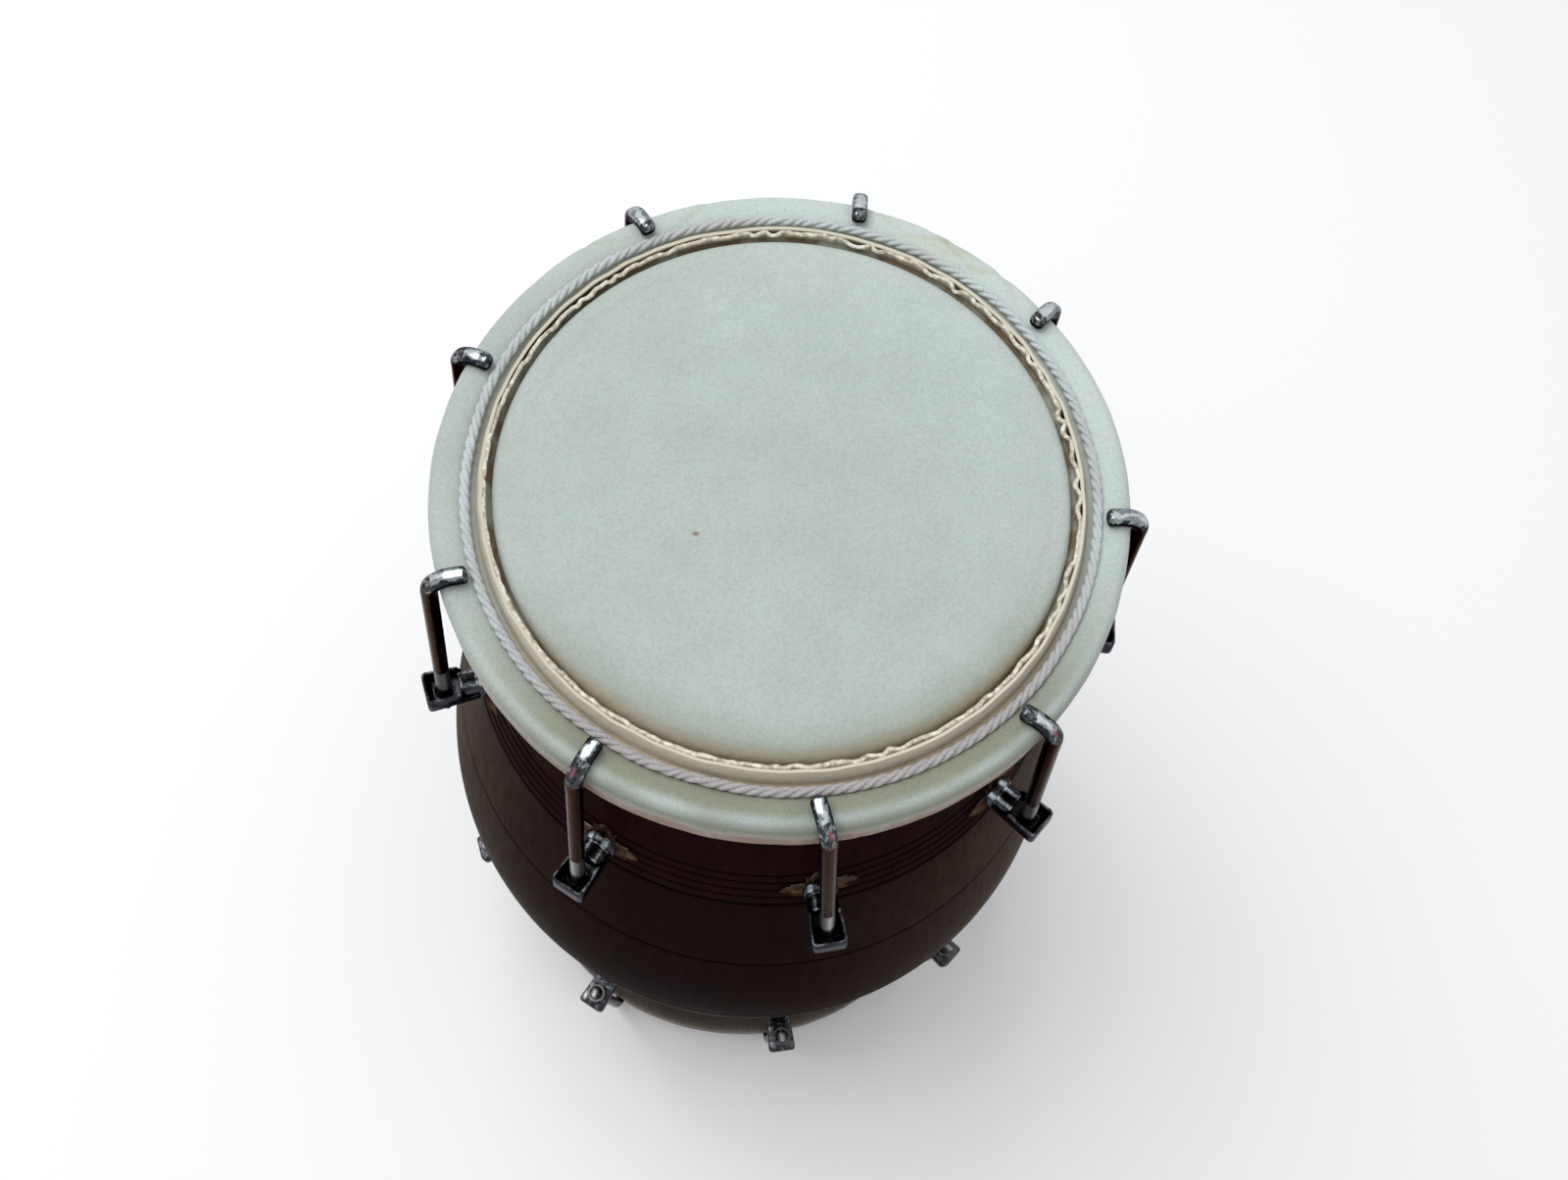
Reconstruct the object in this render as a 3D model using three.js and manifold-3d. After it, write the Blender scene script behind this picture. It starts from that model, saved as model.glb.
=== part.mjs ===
// A bolt-tuned dholak: a barrel turned from one block of wood, with a rawhide head at each end.
// Each head is lapped round a stiff hoop, and nine hook bolts pull the hoop down over the mouth.
// A hook bolt runs through a cast lug on the shell, and the nut under the lug tunes it.
// Millimetres, +Z up. The drum stands on the hooks of its bass end, with the floor at z = 0.
import * as THREE from "three";
import { mergeVertices } from "three/addons/utils/BufferGeometryUtils.js";
import Module from "manifold-3d";

const wasm = await Module();
wasm.setup();

// Whole drum
const ringSpan = 520; // from the face of the treble ring to the face of the bass ring
const boltCount = 9; // hook bolts at each end
const firstBoltAngle = THREE.MathUtils.degToRad(-85);
const seatGap = 0.3; // left between pieces that touch
const turnedFacets = 36;
const roundFacets = 8;

// Shell
const bellyRadius = 160;
const bellyShare = 0.554; // how far down from the treble ring's face the widest place is
const bellyRound = 44; // the barrel's sides run almost straight beyond this much of the belly
const shellWall = 15;
const mouthBand = 28; // straight band at each mouth, under the hoop
const flankShares = [0.1, 0.24, 0.48, 0.74, 1]; // profile stations from the belly to a mouth
const hollowShare = 0.74; // the hollow is cut as two cones, as far as here from the belly

// Rawhide heads, one sheet each, with the trimmed edge standing up inside the cord
const trebleRingRadius = 131.5;
const bassRingRadius = 147;
const ringWidth = 23.6; // from the outside of the ring in to the playing edge
const ringHeight = 26;
const ringRound = 6;
const skinThickness = 1.2;
const skinRise = 1.5; // playing face above the ring's face
const edgeRound = 10; // how the playing face turns down over the bearing edge
const tailRise = 5.6;
const tailLean = 1.6;
const tailRootInset = 18.1; // from the outside of the ring in to the foot of the trimmed edge
const tailRootDrop = 5.5;
const seatInset = 9.5; // from the outside of the ring in to where the cord's seat begins

// Hoops inside the lapped skins
const hoopWidth = 15;
const hoopEase = 0.8; // slack between the hoop and the skin round it
const hoopFacets = 24;

// Cotton cords laid in the seat between the ring and the trimmed edge
const cordRadius = 2.1;
const cordSeatShare = 0.41; // how far down the seat the cord lies
const cordFacets = 6;

// Hook bolts
const rodRadius = 3.15;
const hookBend = 10.5;
const hookReach = 11.3; // from the outside of the ring in to the tip of the hook
const hookBendRings = 3;
const ringClearance = 0.6; // between the rod and the outside of the ring
const rodBelowNut = 6;
const tipChamfer = 1.6;

// How far each treble bolt stands off its even station, in degrees, positive from +X towards +Y:
// its lug along the shell, its rod's tilt sideways, and its hook's turn about the rod.
const boltOffsets = {
  treble: {
    lugTurn: [1.8, 1.1, -2.7, -0.2, -1, -0.7, 0, 0, 0],
    rodTilt: [-3.6, -4.5, 0, -0.5, 0, 0, 0, 1.5, 0],
    hookTurn: [7, 9.5, 9, 10.5, 8, 4.5, -2, -7.5, 0],
  },
};

// Lugs and what fixes them
const lugDrop = 116; // from the ring's face to the middle of the lug
const rodReach = 18.6; // from the shell out to the middle of the rod, at the lug
const boxWidth = 15;
const boxHeight = 12;
const boxOuter = 8.3; // from the rod out to the end of the box
const boxInner = 14.5; // from the rod in to the collar
const boxInnerWidth = 12.6;
const boxCorner = 2.8;
const boxWall = 1.8;
const boxFloor = 3.6;
const bossRadius = 6.6;
const bossStandOff = 8.2; // from the rod in to the end of the boss, inside the box
const collarRadius = 7.4;
const collarLength = 2.2;
const rodHoleEase = 0.75;
const leafReach = 17; // from the middle of the plate to the tip of a leaf
const leafHeightShare = 0.86; // the upper and lower leaves are a little shorter
const leafThickness = 1.2;
const sliceShares = [-1.3, 1.3]; // profile heights of the barrel behind a plate, in leaf reaches
const studRadius = 2.6;
const studHoleEase = 0.7;
const innerNutAcrossFlats = 10;
const innerNutHeight = 4.5;
const innerNutStandOff = 1.3; // the flat nut's middle above the hollowed wall
const hexFacets = 6;

// Tuning nuts
const nutAcrossFlats = 10;
const nutHeight = 5.5;
const nutBoreEase = 0.45;

// Half of the rod across its flats, which is what lies on the ring and on the floor.
const rodFlat = rodRadius * Math.cos(Math.PI / roundFacets);
const bassFace = 2 * rodFlat + seatGap;
const trebleFace = bassFace + ringSpan;
const bellyHeight = trebleFace - bellyShare * ringSpan;

const materials = {
  shell: { color: 0x2e1814, roughness: 0.35, metalness: 0 },
  skin: { color: 0xb9c2b6, roughness: 0.65, metalness: 0 },
  hoop: { color: 0x8a6a48, roughness: 0.7, metalness: 0 },
  cord: { color: 0xd9dde6, roughness: 0.9, metalness: 0 },
  chrome: { color: 0xb8bcc2, roughness: 0.15, metalness: 1 },
  steel: { color: 0xa9abae, roughness: 0.3, metalness: 1 },
};

// Turns a three.js geometry into a manifold solid, placed by a matrix.
function toSolid(geometry, matrix = new THREE.Matrix4()) {
  const bare = new THREE.BufferGeometry();
  bare.setAttribute("position", geometry.getAttribute("position").clone());
  if (geometry.index) bare.setIndex(geometry.index.clone());
  bare.applyMatrix4(matrix);
  const merged = mergeVertices(bare, 1e-4);
  const vertProperties = merged.getAttribute("position").array;
  const triVerts = new Uint32Array(merged.index.array);
  return new wasm.Manifold(new wasm.Mesh({ numProp: 3, vertProperties, triVerts }));
}

// Turns a manifold solid back into a geometry.
function toGeometry(solid) {
  const mesh = solid.getMesh();
  const positions = new Float32Array(mesh.numVert * 3);
  for (let i = 0; i < mesh.numVert; i++) {
    const start = i * mesh.numProp;
    positions.set(mesh.vertProperties.subarray(start, start + 3), i * 3);
  }
  const geometry = new THREE.BufferGeometry();
  geometry.setAttribute("position", new THREE.BufferAttribute(positions, 3));
  geometry.setIndex(new THREE.BufferAttribute(mesh.triVerts, 1));
  geometry.computeVertexNormals();
  return geometry;
}

function addPiece(group, name, geometry, look) {
  const mesh = new THREE.Mesh(geometry, new THREE.MeshStandardMaterial(materials[look]));
  mesh.name = name;
  group.add(mesh);
  return mesh;
}

// Turns an outline of radius and height about the drum's axis. LatheGeometry turns about Y.
function turned(outline, facets = turnedFacets) {
  const geometry = new THREE.LatheGeometry(outline, facets);
  geometry.rotateX(Math.PI / 2);
  return geometry;
}

// A rod along Z that starts at the origin, with its flats facing X and Y.
function roundRod(radius, length) {
  const geometry = new THREE.CylinderGeometry(radius, radius, length, roundFacets);
  geometry.rotateY(Math.PI / roundFacets);
  geometry.translate(0, length / 2, 0);
  geometry.rotateX(Math.PI / 2);
  return geometry;
}

// Turns steps of distance and radius about the X axis, closed with flat ends.
function stepped(steps, facets) {
  const outline = steps.map(([distance, radius]) => new THREE.Vector2(radius, distance));
  outline.unshift(new THREE.Vector2(0, outline[0].y));
  outline.push(new THREE.Vector2(0, outline.at(-1).y));
  const geometry = new THREE.LatheGeometry(outline, facets);
  geometry.rotateY(Math.PI / facets);
  geometry.rotateZ(-Math.PI / 2);
  return geometry;
}

function cornerRadius(acrossFlats) {
  return acrossFlats / 2 / Math.cos(Math.PI / hexFacets);
}

// The barrel's outside. It is almost a cone on each side of a rounded belly, as a hyperbola is.
function flank(distance) {
  return Math.hypot(distance, bellyRound) - bellyRound;
}

function mouthRadius(ringRadius) {
  return ringRadius - ringWidth - skinThickness - seatGap;
}

const trebleRun = trebleFace - mouthBand - bellyHeight;
const bassRun = bellyHeight - bassFace - mouthBand;

function shellRadius(height) {
  const above = height > bellyHeight;
  const drop = bellyRadius - mouthRadius(above ? trebleRingRadius : bassRingRadius);
  const run = above ? trebleRun : bassRun;
  const distance = Math.min(Math.abs(height - bellyHeight), run);
  return bellyRadius - (drop * flank(distance)) / flank(run);
}

// The inside of the hollow, good from the belly out to the end of each cone.
function hollowRadius(height) {
  const reach = hollowShare * (height > bellyHeight ? trebleRun : -bassRun);
  const taper = bellyRadius - shellRadius(bellyHeight + reach);
  return bellyRadius - shellWall - (taper * (height - bellyHeight)) / reach;
}

// The shell's outline, from the inside of the bass mouth round by the outside and back inside.
function makeShell() {
  const bearingRound = edgeRound - skinThickness / 2 - seatGap;
  const heights = [
    ...flankShares.map((share) => bellyHeight - share * bassRun).reverse(),
    bellyHeight,
    ...flankShares.map((share) => bellyHeight + share * trebleRun),
  ];
  const outside = heights.map((height) => new THREE.Vector2(shellRadius(height), height));
  const inside = [hollowShare * trebleRun, 0, -hollowShare * bassRun].map(
    (above) => new THREE.Vector2(hollowRadius(bellyHeight + above), bellyHeight + above),
  );
  const rim = (ringRadius, face, up) => {
    const outer = mouthRadius(ringRadius);
    const centre = new THREE.Vector2(outer - bearingRound, face - up * bearingRound);
    const points = [Math.PI / 2, Math.PI / 4, 0].map(
      (turn) =>
        new THREE.Vector2(
          centre.x + bearingRound * Math.cos(turn),
          centre.y + up * bearingRound * Math.sin(turn),
        ),
    );
    points.unshift(new THREE.Vector2(outer - shellWall, face));
    return points;
  };
  const bassRim = rim(bassRingRadius, bassFace, -1);
  const trebleRim = rim(trebleRingRadius, trebleFace, 1).reverse();
  const outline = [...bassRim, ...outside, ...trebleRim, ...inside, bassRim[0]];
  return toSolid(turned(outline));
}

// Moves a path of radius and height to one side, for the face of a sheet of even thickness.
function sheetFace(path, offset) {
  return path.map((point, i) => {
    const before = path[Math.max(i - 1, 0)];
    const after = path[Math.min(i + 1, path.length - 1)];
    const into = i > 0 ? point.clone().sub(before).normalize() : null;
    const out = i < path.length - 1 ? after.clone().sub(point).normalize() : null;
    const along = (into ?? out).clone().add(out ?? into).normalize();
    const miter = offset / along.dot(into ?? out);
    return point.clone().addScaledVector(new THREE.Vector2(-along.y, along.x), miter);
  });
}

// The corners of a head's section that the skin, the hoop and the cord share.
function headSection(ringRadius) {
  const half = skinThickness / 2;
  return {
    edge: ringRadius - ringWidth - half,
    crown: skinRise - half,
    outer: ringRadius - half,
    top: -half,
    bottom: half - ringHeight,
    seatStart: new THREE.Vector2(ringRadius - seatInset, -half),
    tailRoot: new THREE.Vector2(ringRadius - tailRootInset, -tailRootDrop),
    hoopOuter: ringRadius - skinThickness - hoopEase,
    hoopInner: ringRadius - skinThickness - hoopEase - hoopWidth,
  };
}

// Where the cord lies on the slope of its seat. A lift under zero beds it into the skin.
function cordSection(ringRadius, lift) {
  const s = headSection(ringRadius);
  const down = s.tailRoot.clone().sub(s.seatStart);
  const middle = s.seatStart.clone().addScaledVector(down, cordSeatShare);
  down.normalize();
  const away = new THREE.Vector2(down.y, -down.x);
  middle.addScaledVector(away, skinThickness / 2 + lift + cordRadius);
  return { middle, away, down };
}

// One sheet: playing face, down inside the hoop, under it, up round it, and its edge stood up.
// A bedded cord is a ridge of the same sheet.
function makeSkin(ringRadius, bedded) {
  const s = headSection(ringRadius);
  const turn = edgeRound * Math.SQRT1_2;
  const path = [
    [0, s.crown],
    [s.edge - edgeRound, s.crown],
    [s.edge - edgeRound + turn, s.crown - edgeRound + turn],
    [s.edge, s.crown - edgeRound],
    [s.hoopInner - hoopEase - skinThickness / 2, s.bottom],
    [s.outer - ringRound, s.bottom],
    [s.outer, s.bottom + ringRound],
    [s.outer, s.top - ringRound],
    [s.outer - ringRound + ringRound * Math.SQRT1_2, s.top - ringRound * (1 - Math.SQRT1_2)],
    [s.outer - ringRound, s.top],
    [s.seatStart.x, s.seatStart.y],
    [s.tailRoot.x, s.tailRoot.y],
    [s.tailRoot.x - tailLean, tailRise],
  ].map(([radius, height]) => new THREE.Vector2(radius, height));
  const under = sheetFace(path, -skinThickness / 2);
  const over = sheetFace(path, skinThickness / 2);
  if (bedded) {
    const cord = cordSection(ringRadius, -seatGap);
    const foot = Math.acos(seatGap / cordRadius - 1);
    const ridge = [-1, -0.5, 0, 0.5, 1].map((share) =>
      cord.middle
        .clone()
        .addScaledVector(cord.away, cordRadius * Math.cos(share * foot))
        .addScaledVector(cord.down, cordRadius * Math.sin(share * foot)),
    );
    over.splice(-2, 0, ...ridge);
  }
  return toSolid(turned([...under, ...over.reverse()]));
}

// The hoop fills the lapped skin with its slack, so its corners are cut as the skin turns.
function makeHoop(ringRadius) {
  const s = headSection(ringRadius);
  const inset = skinThickness / 2 + hoopEase;
  const corner = ringRound;
  const outline = [
    [s.hoopInner, s.tailRoot.y - inset],
    [s.hoopInner, s.bottom + inset + corner / 2],
    [s.hoopInner + corner / 2, s.bottom + inset],
    [s.hoopOuter - corner, s.bottom + inset],
    [s.hoopOuter, s.bottom + inset + corner],
    [s.hoopOuter, s.top - inset - corner],
    [s.hoopOuter - corner, s.top - inset],
    [s.seatStart.x + inset / 2, s.top - inset],
    [s.hoopInner, s.tailRoot.y - inset],
  ].map(([radius, height]) => new THREE.Vector2(radius, height));
  return toSolid(turned(outline, hoopFacets));
}

function makeCord(ringRadius) {
  const { middle } = cordSection(ringRadius, seatGap);
  const geometry = new THREE.TorusGeometry(middle.x, cordRadius, cordFacets, turnedFacets);
  geometry.translate(0, 0, middle.y);
  return toSolid(geometry);
}

// Where the rod of a hook runs at one end: past the ring at its top and through the lug.
function rodLine(ringRadius, face, outward) {
  const lugRadius = shellRadius(face - outward * lugDrop);
  const top = new THREE.Vector2(
    ringRadius + ringClearance + rodRadius,
    -ringRound - skinThickness,
  );
  const low = new THREE.Vector2(lugRadius + rodReach, -lugDrop);
  const lean = Math.atan2(low.x - top.x, top.y - low.y);
  return { top, low, lean, lugRadius };
}

// A hook's middle line: from the tip out along the arm, round the bend and down the rod.
// Its points are spread so that every ring of the swept rod is needed.
class HookLine extends THREE.Curve {
  constructor(tip, centre, turn, rodEnd) {
    super();
    const steps = hookBendRings;
    this.points = [tip];
    this.tangents = [new THREE.Vector3(1, 0, 0)];
    for (let i = 0; i <= steps; i++) {
      const angle = (turn * i) / steps;
      const x = centre.x + hookBend * Math.sin(angle);
      const z = centre.y + hookBend * Math.cos(angle);
      this.points.push(new THREE.Vector3(x, 0, z));
      this.tangents.push(new THREE.Vector3(Math.cos(angle), 0, -Math.sin(angle)));
    }
    this.points.push(rodEnd);
    this.tangents.push(this.tangents.at(-1));
  }
  at(list, t) {
    const place = t * (list.length - 1);
    const i = Math.min(Math.floor(place), list.length - 2);
    return list[i].clone().lerp(list[i + 1], place - i);
  }
  getPoint(t) {
    return this.at(this.points, t);
  }
  getTangent(t) {
    return this.at(this.tangents, t).normalize();
  }
  getUtoTmapping(u) {
    return u;
  }
}

function polygon(radius, sides) {
  const points = [];
  for (let i = 0; i < sides; i++) {
    const angle = ((i + 0.5) * 2 * Math.PI) / sides;
    points.push(new THREE.Vector2(radius * Math.cos(angle), radius * Math.sin(angle)));
  }
  return points;
}

// The hook lies in the XZ plane of its own station: X runs outward and Z away from the drum.
// Its arm can be made higher than the ring, for a rod that is then tilted.
function makeHook(ringRadius, line, lift) {
  const armHeight = seatGap + rodFlat + lift;
  const elbow = line.top.x - (armHeight - line.top.y) * Math.tan(line.lean);
  const turn = Math.PI / 2 - line.lean;
  const tangent = hookBend * Math.tan(turn / 2);
  const centre = new THREE.Vector2(elbow - tangent, armHeight - hookBend);
  const tip = new THREE.Vector3(ringRadius - hookReach, 0, armHeight);
  const below = boxHeight / 2 + seatGap + nutHeight + rodBelowNut;
  const rodEnd = new THREE.Vector3(
    line.low.x + below * Math.sin(line.lean),
    0,
    line.low.y - below * Math.cos(line.lean),
  );
  const path = new HookLine(tip, centre, turn, rodEnd);
  const section = new THREE.Shape(polygon(rodRadius, roundFacets));
  const geometry = new THREE.ExtrudeGeometry(section, {
    steps: path.points.length - 1,
    extrudePath: path,
    bevelEnabled: false,
  });
  const file = new THREE.BoxGeometry(2 * tipChamfer, 4 * rodRadius, 2 * tipChamfer);
  file.rotateY(Math.PI / 4);
  const place = new THREE.Matrix4().makeTranslation(tip.x, 0, tip.z + rodFlat);
  return toSolid(geometry).subtract(toSolid(file, place));
}

// A hook tilted and turned on its rod, with the rod longer by what lifts the arm back to its seat.
// Only the straight arm seats. The bend starts over the ring's rounded edge and stays clear of it.
function seatedHook(ringRadius, line, place) {
  const corners = toGeometry(makeHook(ringRadius, line, 0)).getAttribute("position");
  const armEnd = ringRadius - ringRound;
  const corner = new THREE.Vector3();
  let lowest = Infinity;
  for (let i = 0; i < corners.count; i++) {
    corner.fromBufferAttribute(corners, i);
    if (corner.x < armEnd) lowest = Math.min(lowest, corner.applyMatrix4(place).z);
  }
  return makeHook(ringRadius, line, seatGap - lowest);
}

// The nut turns on the rod just under the lug. Its frame is the lug's.
function makeNut() {
  const shape = new THREE.Shape(polygon(cornerRadius(nutAcrossFlats), hexFacets));
  shape.holes.push(new THREE.Path(polygon(rodRadius + nutBoreEase, roundFacets)));
  const geometry = new THREE.ExtrudeGeometry(shape, { depth: nutHeight, bevelEnabled: false });
  geometry.translate(0, 0, -boxHeight / 2 - seatGap - nutHeight);
  return toSolid(geometry);
}

// The box's plan: narrower towards the collar and rounded at its outer end.
function boxPlan(inset) {
  const half = boxWidth / 2 - inset;
  const innerHalf = boxInnerWidth / 2 - inset;
  const end = boxOuter - inset;
  const start = inset - boxInner;
  const corner = boxCorner - inset;
  const shape = new THREE.Shape();
  shape.moveTo(start, -innerHalf);
  shape.lineTo(end - corner, -half);
  shape.absarc(end - corner, corner - half, corner, -Math.PI / 2, 0);
  shape.absarc(end - corner, half - corner, corner, 0, Math.PI / 2);
  shape.lineTo(start, innerHalf);
  return shape;
}

// The plate's outline: four leaves with a shoulder at each side of the tip.
function leafPlan() {
  const tipShare = 1;
  const shoulderShare = 0.74;
  const notchShare = 0.46;
  const shoulderTurn = Math.PI / 9;
  const points = [];
  for (let leaf = 0; leaf < 4; leaf++) {
    const middle = (leaf * Math.PI) / 2;
    const corners = [
      [-shoulderTurn, shoulderShare],
      [0, tipShare],
      [shoulderTurn, shoulderShare],
      [Math.PI / 4, notchShare],
    ];
    for (const [turn, share] of corners) {
      const reach = leafReach * share;
      const angle = middle + turn;
      points.push(
        new THREE.Vector2(
          reach * Math.cos(angle) * leafHeightShare,
          reach * Math.sin(angle),
        ),
      );
    }
  }
  return new THREE.Shape(points);
}

// The slice of barrel behind the lugs of an end, grown by an offset, to shape what lies against it.
function barrelSlice(end, offset) {
  const outline = sliceShares.map((share) => {
    const height = end.face - end.outward * lugDrop + share * leafReach;
    return new THREE.Vector2(shellRadius(height) + offset, height);
  });
  outline.unshift(new THREE.Vector2(0, outline[0].y));
  outline.push(new THREE.Vector2(0, outline.at(-1).y));
  return turned(outline);
}

// A lug in its own frame: Z runs up the rod, X outward, and the origin is on the rod at mid height.
// Its leaf plate and boss are cut to the barrel, so that they lie close all over.
function makeLug(end, worldToLug) {
  const depth = { depth: boxHeight, bevelEnabled: false, curveSegments: 1 };
  const box = new THREE.ExtrudeGeometry(boxPlan(0), depth);
  box.translate(0, 0, -boxHeight / 2);
  const tray = new THREE.ExtrudeGeometry(boxPlan(boxWall), depth);
  tray.translate(0, 0, boxFloor - boxHeight / 2);
  const hole = roundRod(rodRadius + rodHoleEase, boxHeight);
  hole.translate(0, 0, -boxHeight + boxFloor / 2);

  const root = -rodReach - leafThickness;
  const collarEnd = -rodReach + seatGap + leafThickness + collarLength;
  const bossSteps = [
    [root, collarRadius],
    [collarEnd, collarRadius],
    [collarEnd, bossRadius],
    [-bossStandOff, bossRadius],
  ];

  const leafDepth = 4 * leafThickness + collarLength;
  const leaf = new THREE.ExtrudeGeometry(leafPlan(), { depth: leafDepth, bevelEnabled: false });
  leaf.rotateY(Math.PI / 2);
  leaf.translate(-rodReach - leafDepth / 2, 0, 0);
  const plateOutside = toSolid(barrelSlice(end, seatGap + leafThickness), worldToLug);
  const plateInside = toSolid(barrelSlice(end, seatGap), worldToLug);

  const lugHeight = end.face - end.outward * lugDrop;
  const wall = shellRadius(lugHeight) - hollowRadius(lugHeight);
  const wallInside = -rodReach - wall - innerNutStandOff;
  const studSteps = [
    [wallInside - innerNutHeight, cornerRadius(innerNutAcrossFlats)],
    [wallInside, cornerRadius(innerNutAcrossFlats)],
    [wallInside, studRadius],
    [collarEnd, studRadius],
  ];

  return toSolid(box)
    .subtract(toSolid(tray))
    .subtract(toSolid(hole))
    .add(toSolid(stepped(bossSteps, roundFacets)))
    .add(toSolid(leaf).intersect(plateOutside))
    .subtract(plateInside)
    .add(toSolid(stepped(studSteps, hexFacets)));
}

// How far a bolt is off its even station. The hidden bolts of the bass end stand on theirs.
function boltOffset(endName, i) {
  const offsets = boltOffsets[endName];
  if (!offsets) return { lugTurn: 0, rodTilt: 0, hookTurn: 0 };
  const degree = Math.PI / 180;
  return {
    lugTurn: offsets.lugTurn[i] * degree,
    rodTilt: offsets.rodTilt[i] * degree,
    hookTurn: offsets.hookTurn[i] * degree,
  };
}

// The frames of a hook and of its lug in their station. The rod leans outward as it goes down to
// the lug, and is tilted sideways there. The hook is turned about the rod.
function boltPlaces(line, offset) {
  const low = new THREE.Vector3(line.low.x, 0, line.low.y);
  const rod = new THREE.Vector3(-Math.sin(line.lean), 0, Math.cos(line.lean));
  const about = (turn) =>
    new THREE.Matrix4()
      .makeTranslation(low)
      .multiply(turn)
      .multiply(new THREE.Matrix4().makeTranslation(low.clone().negate()));
  const tilt = about(new THREE.Matrix4().makeRotationX(-offset.rodTilt));
  const swing = about(new THREE.Matrix4().makeRotationAxis(rod, offset.hookTurn));
  const lean = new THREE.Matrix4().makeRotationY(-line.lean);
  const lugToStation = new THREE.Matrix4().makeTranslation(low).multiply(lean);
  return {
    hookPlace: tilt.clone().multiply(swing),
    lugPlace: tilt.clone().multiply(lugToStation),
  };
}

const drum = new THREE.Group();
drum.name = "dholak";
let shell = makeShell();

const ends = [
  { name: "treble", ringRadius: trebleRingRadius, face: trebleFace, outward: 1, freeCord: true },
  { name: "bass", ringRadius: bassRingRadius, face: bassFace, outward: -1, freeCord: false },
];

for (const end of ends) {
  // The end's own frame: Z away from the drum, with zero at the ring's face.
  const head = new THREE.Group();
  head.position.z = end.face;
  if (end.outward < 0) head.rotation.x = Math.PI;
  drum.add(head);
  head.updateWorldMatrix(true, false);

  // The bass cord, hidden under the drum, is bedded in its skin as one solid.
  const skin = makeSkin(end.ringRadius, !end.freeCord);
  addPiece(head, `${end.name}_skin`, toGeometry(skin), "skin");
  if (end.freeCord) addPiece(head, `${end.name}_cord`, toGeometry(makeCord(end.ringRadius)), "cord");
  addPiece(head, `${end.name}_hoop`, toGeometry(makeHoop(end.ringRadius)), "hoop");

  const line = rodLine(end.ringRadius, end.face, end.outward);
  const nut = makeNut();
  const holeRadius = studRadius + studHoleEase;
  const drill = stepped([[-3 * rodReach, holeRadius], [0, holeRadius]], hexFacets);

  for (let i = 0; i < boltCount; i++) {
    const offset = boltOffset(end.name, i);
    const angle = firstBoltAngle + (i * 2 * Math.PI) / boltCount + offset.lugTurn;
    const station = new THREE.Group();
    station.rotation.z = end.outward * angle;
    head.add(station);
    const { hookPlace, lugPlace } = boltPlaces(line, offset);

    const hung = new THREE.Group();
    hung.applyMatrix4(hookPlace);
    station.add(hung);
    const hook = seatedHook(end.ringRadius, line, hookPlace);
    addPiece(hung, `${end.name}_hook_${i + 1}`, toGeometry(hook), "chrome");

    const seat = new THREE.Group();
    seat.applyMatrix4(lugPlace);
    station.add(seat);
    seat.updateWorldMatrix(true, false);
    const lug = makeLug(end, seat.matrixWorld.clone().invert());
    addPiece(seat, `${end.name}_lug_${i + 1}`, toGeometry(lug), "chrome");
    addPiece(seat, `${end.name}_nut_${i + 1}`, toGeometry(nut), "steel");
    shell = shell.subtract(toSolid(drill, seat.matrixWorld));
  }
}

addPiece(drum, "shell", toGeometry(shell), "shell");

export default drum;
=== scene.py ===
import bpy
import numpy as np
from mathutils import Matrix


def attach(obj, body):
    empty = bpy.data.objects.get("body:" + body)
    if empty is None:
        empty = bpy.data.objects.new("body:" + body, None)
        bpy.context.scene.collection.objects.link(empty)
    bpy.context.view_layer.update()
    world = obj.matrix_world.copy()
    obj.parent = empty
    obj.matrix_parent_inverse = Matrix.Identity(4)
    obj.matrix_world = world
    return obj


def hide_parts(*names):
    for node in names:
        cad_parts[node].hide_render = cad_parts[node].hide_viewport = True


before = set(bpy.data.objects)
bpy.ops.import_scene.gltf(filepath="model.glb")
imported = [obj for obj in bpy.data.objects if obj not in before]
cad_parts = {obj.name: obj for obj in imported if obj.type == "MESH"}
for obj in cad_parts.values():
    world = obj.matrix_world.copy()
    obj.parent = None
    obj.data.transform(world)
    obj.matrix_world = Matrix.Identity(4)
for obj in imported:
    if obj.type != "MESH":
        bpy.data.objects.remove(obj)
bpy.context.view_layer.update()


# Camera
# The picture is taken from a metre above the floor, looking steeply down on the upper head.
# The place and the tilt come from a fit to the upper hooks, the ring and the barrel's sides.
camera_lens = bpy.data.cameras.new("camera")
camera_lens.lens = 33.75
camera_lens.sensor_width = 36.0
camera_lens.clip_start = 0.05
camera = bpy.data.objects.new("camera", camera_lens)
camera.matrix_world = (
    Matrix.Translation((-0.04084, -0.24364, 1.01512))
    @ Matrix.Rotation(np.radians(-1.3), 4, "Z")
    @ Matrix.Rotation(np.radians(22.38), 4, "X")
    @ Matrix.Rotation(np.radians(-3.67), 4, "Y")
)
bpy.context.scene.collection.objects.link(camera)
bpy.context.scene.camera = camera
bpy.context.scene.view_settings.view_transform = "Standard"


# Floor and light
# A plain white floor under a soft even sky, with one wide lamp high up on the far left side.
def finish(name, colour, roughness, **sockets):
    """A new material, its node tree and its shader, whose sockets take the values given."""
    material = bpy.data.materials.new(name)
    material.use_nodes = True
    shader = material.node_tree.nodes["Principled BSDF"]
    shader.inputs["Base Color"].default_value = (*colour, 1)
    shader.inputs["Roughness"].default_value = roughness
    for socket, value in sockets.items():
        shader.inputs[socket.replace("_", " ")].default_value = value
    return material, material.node_tree, shader


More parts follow.
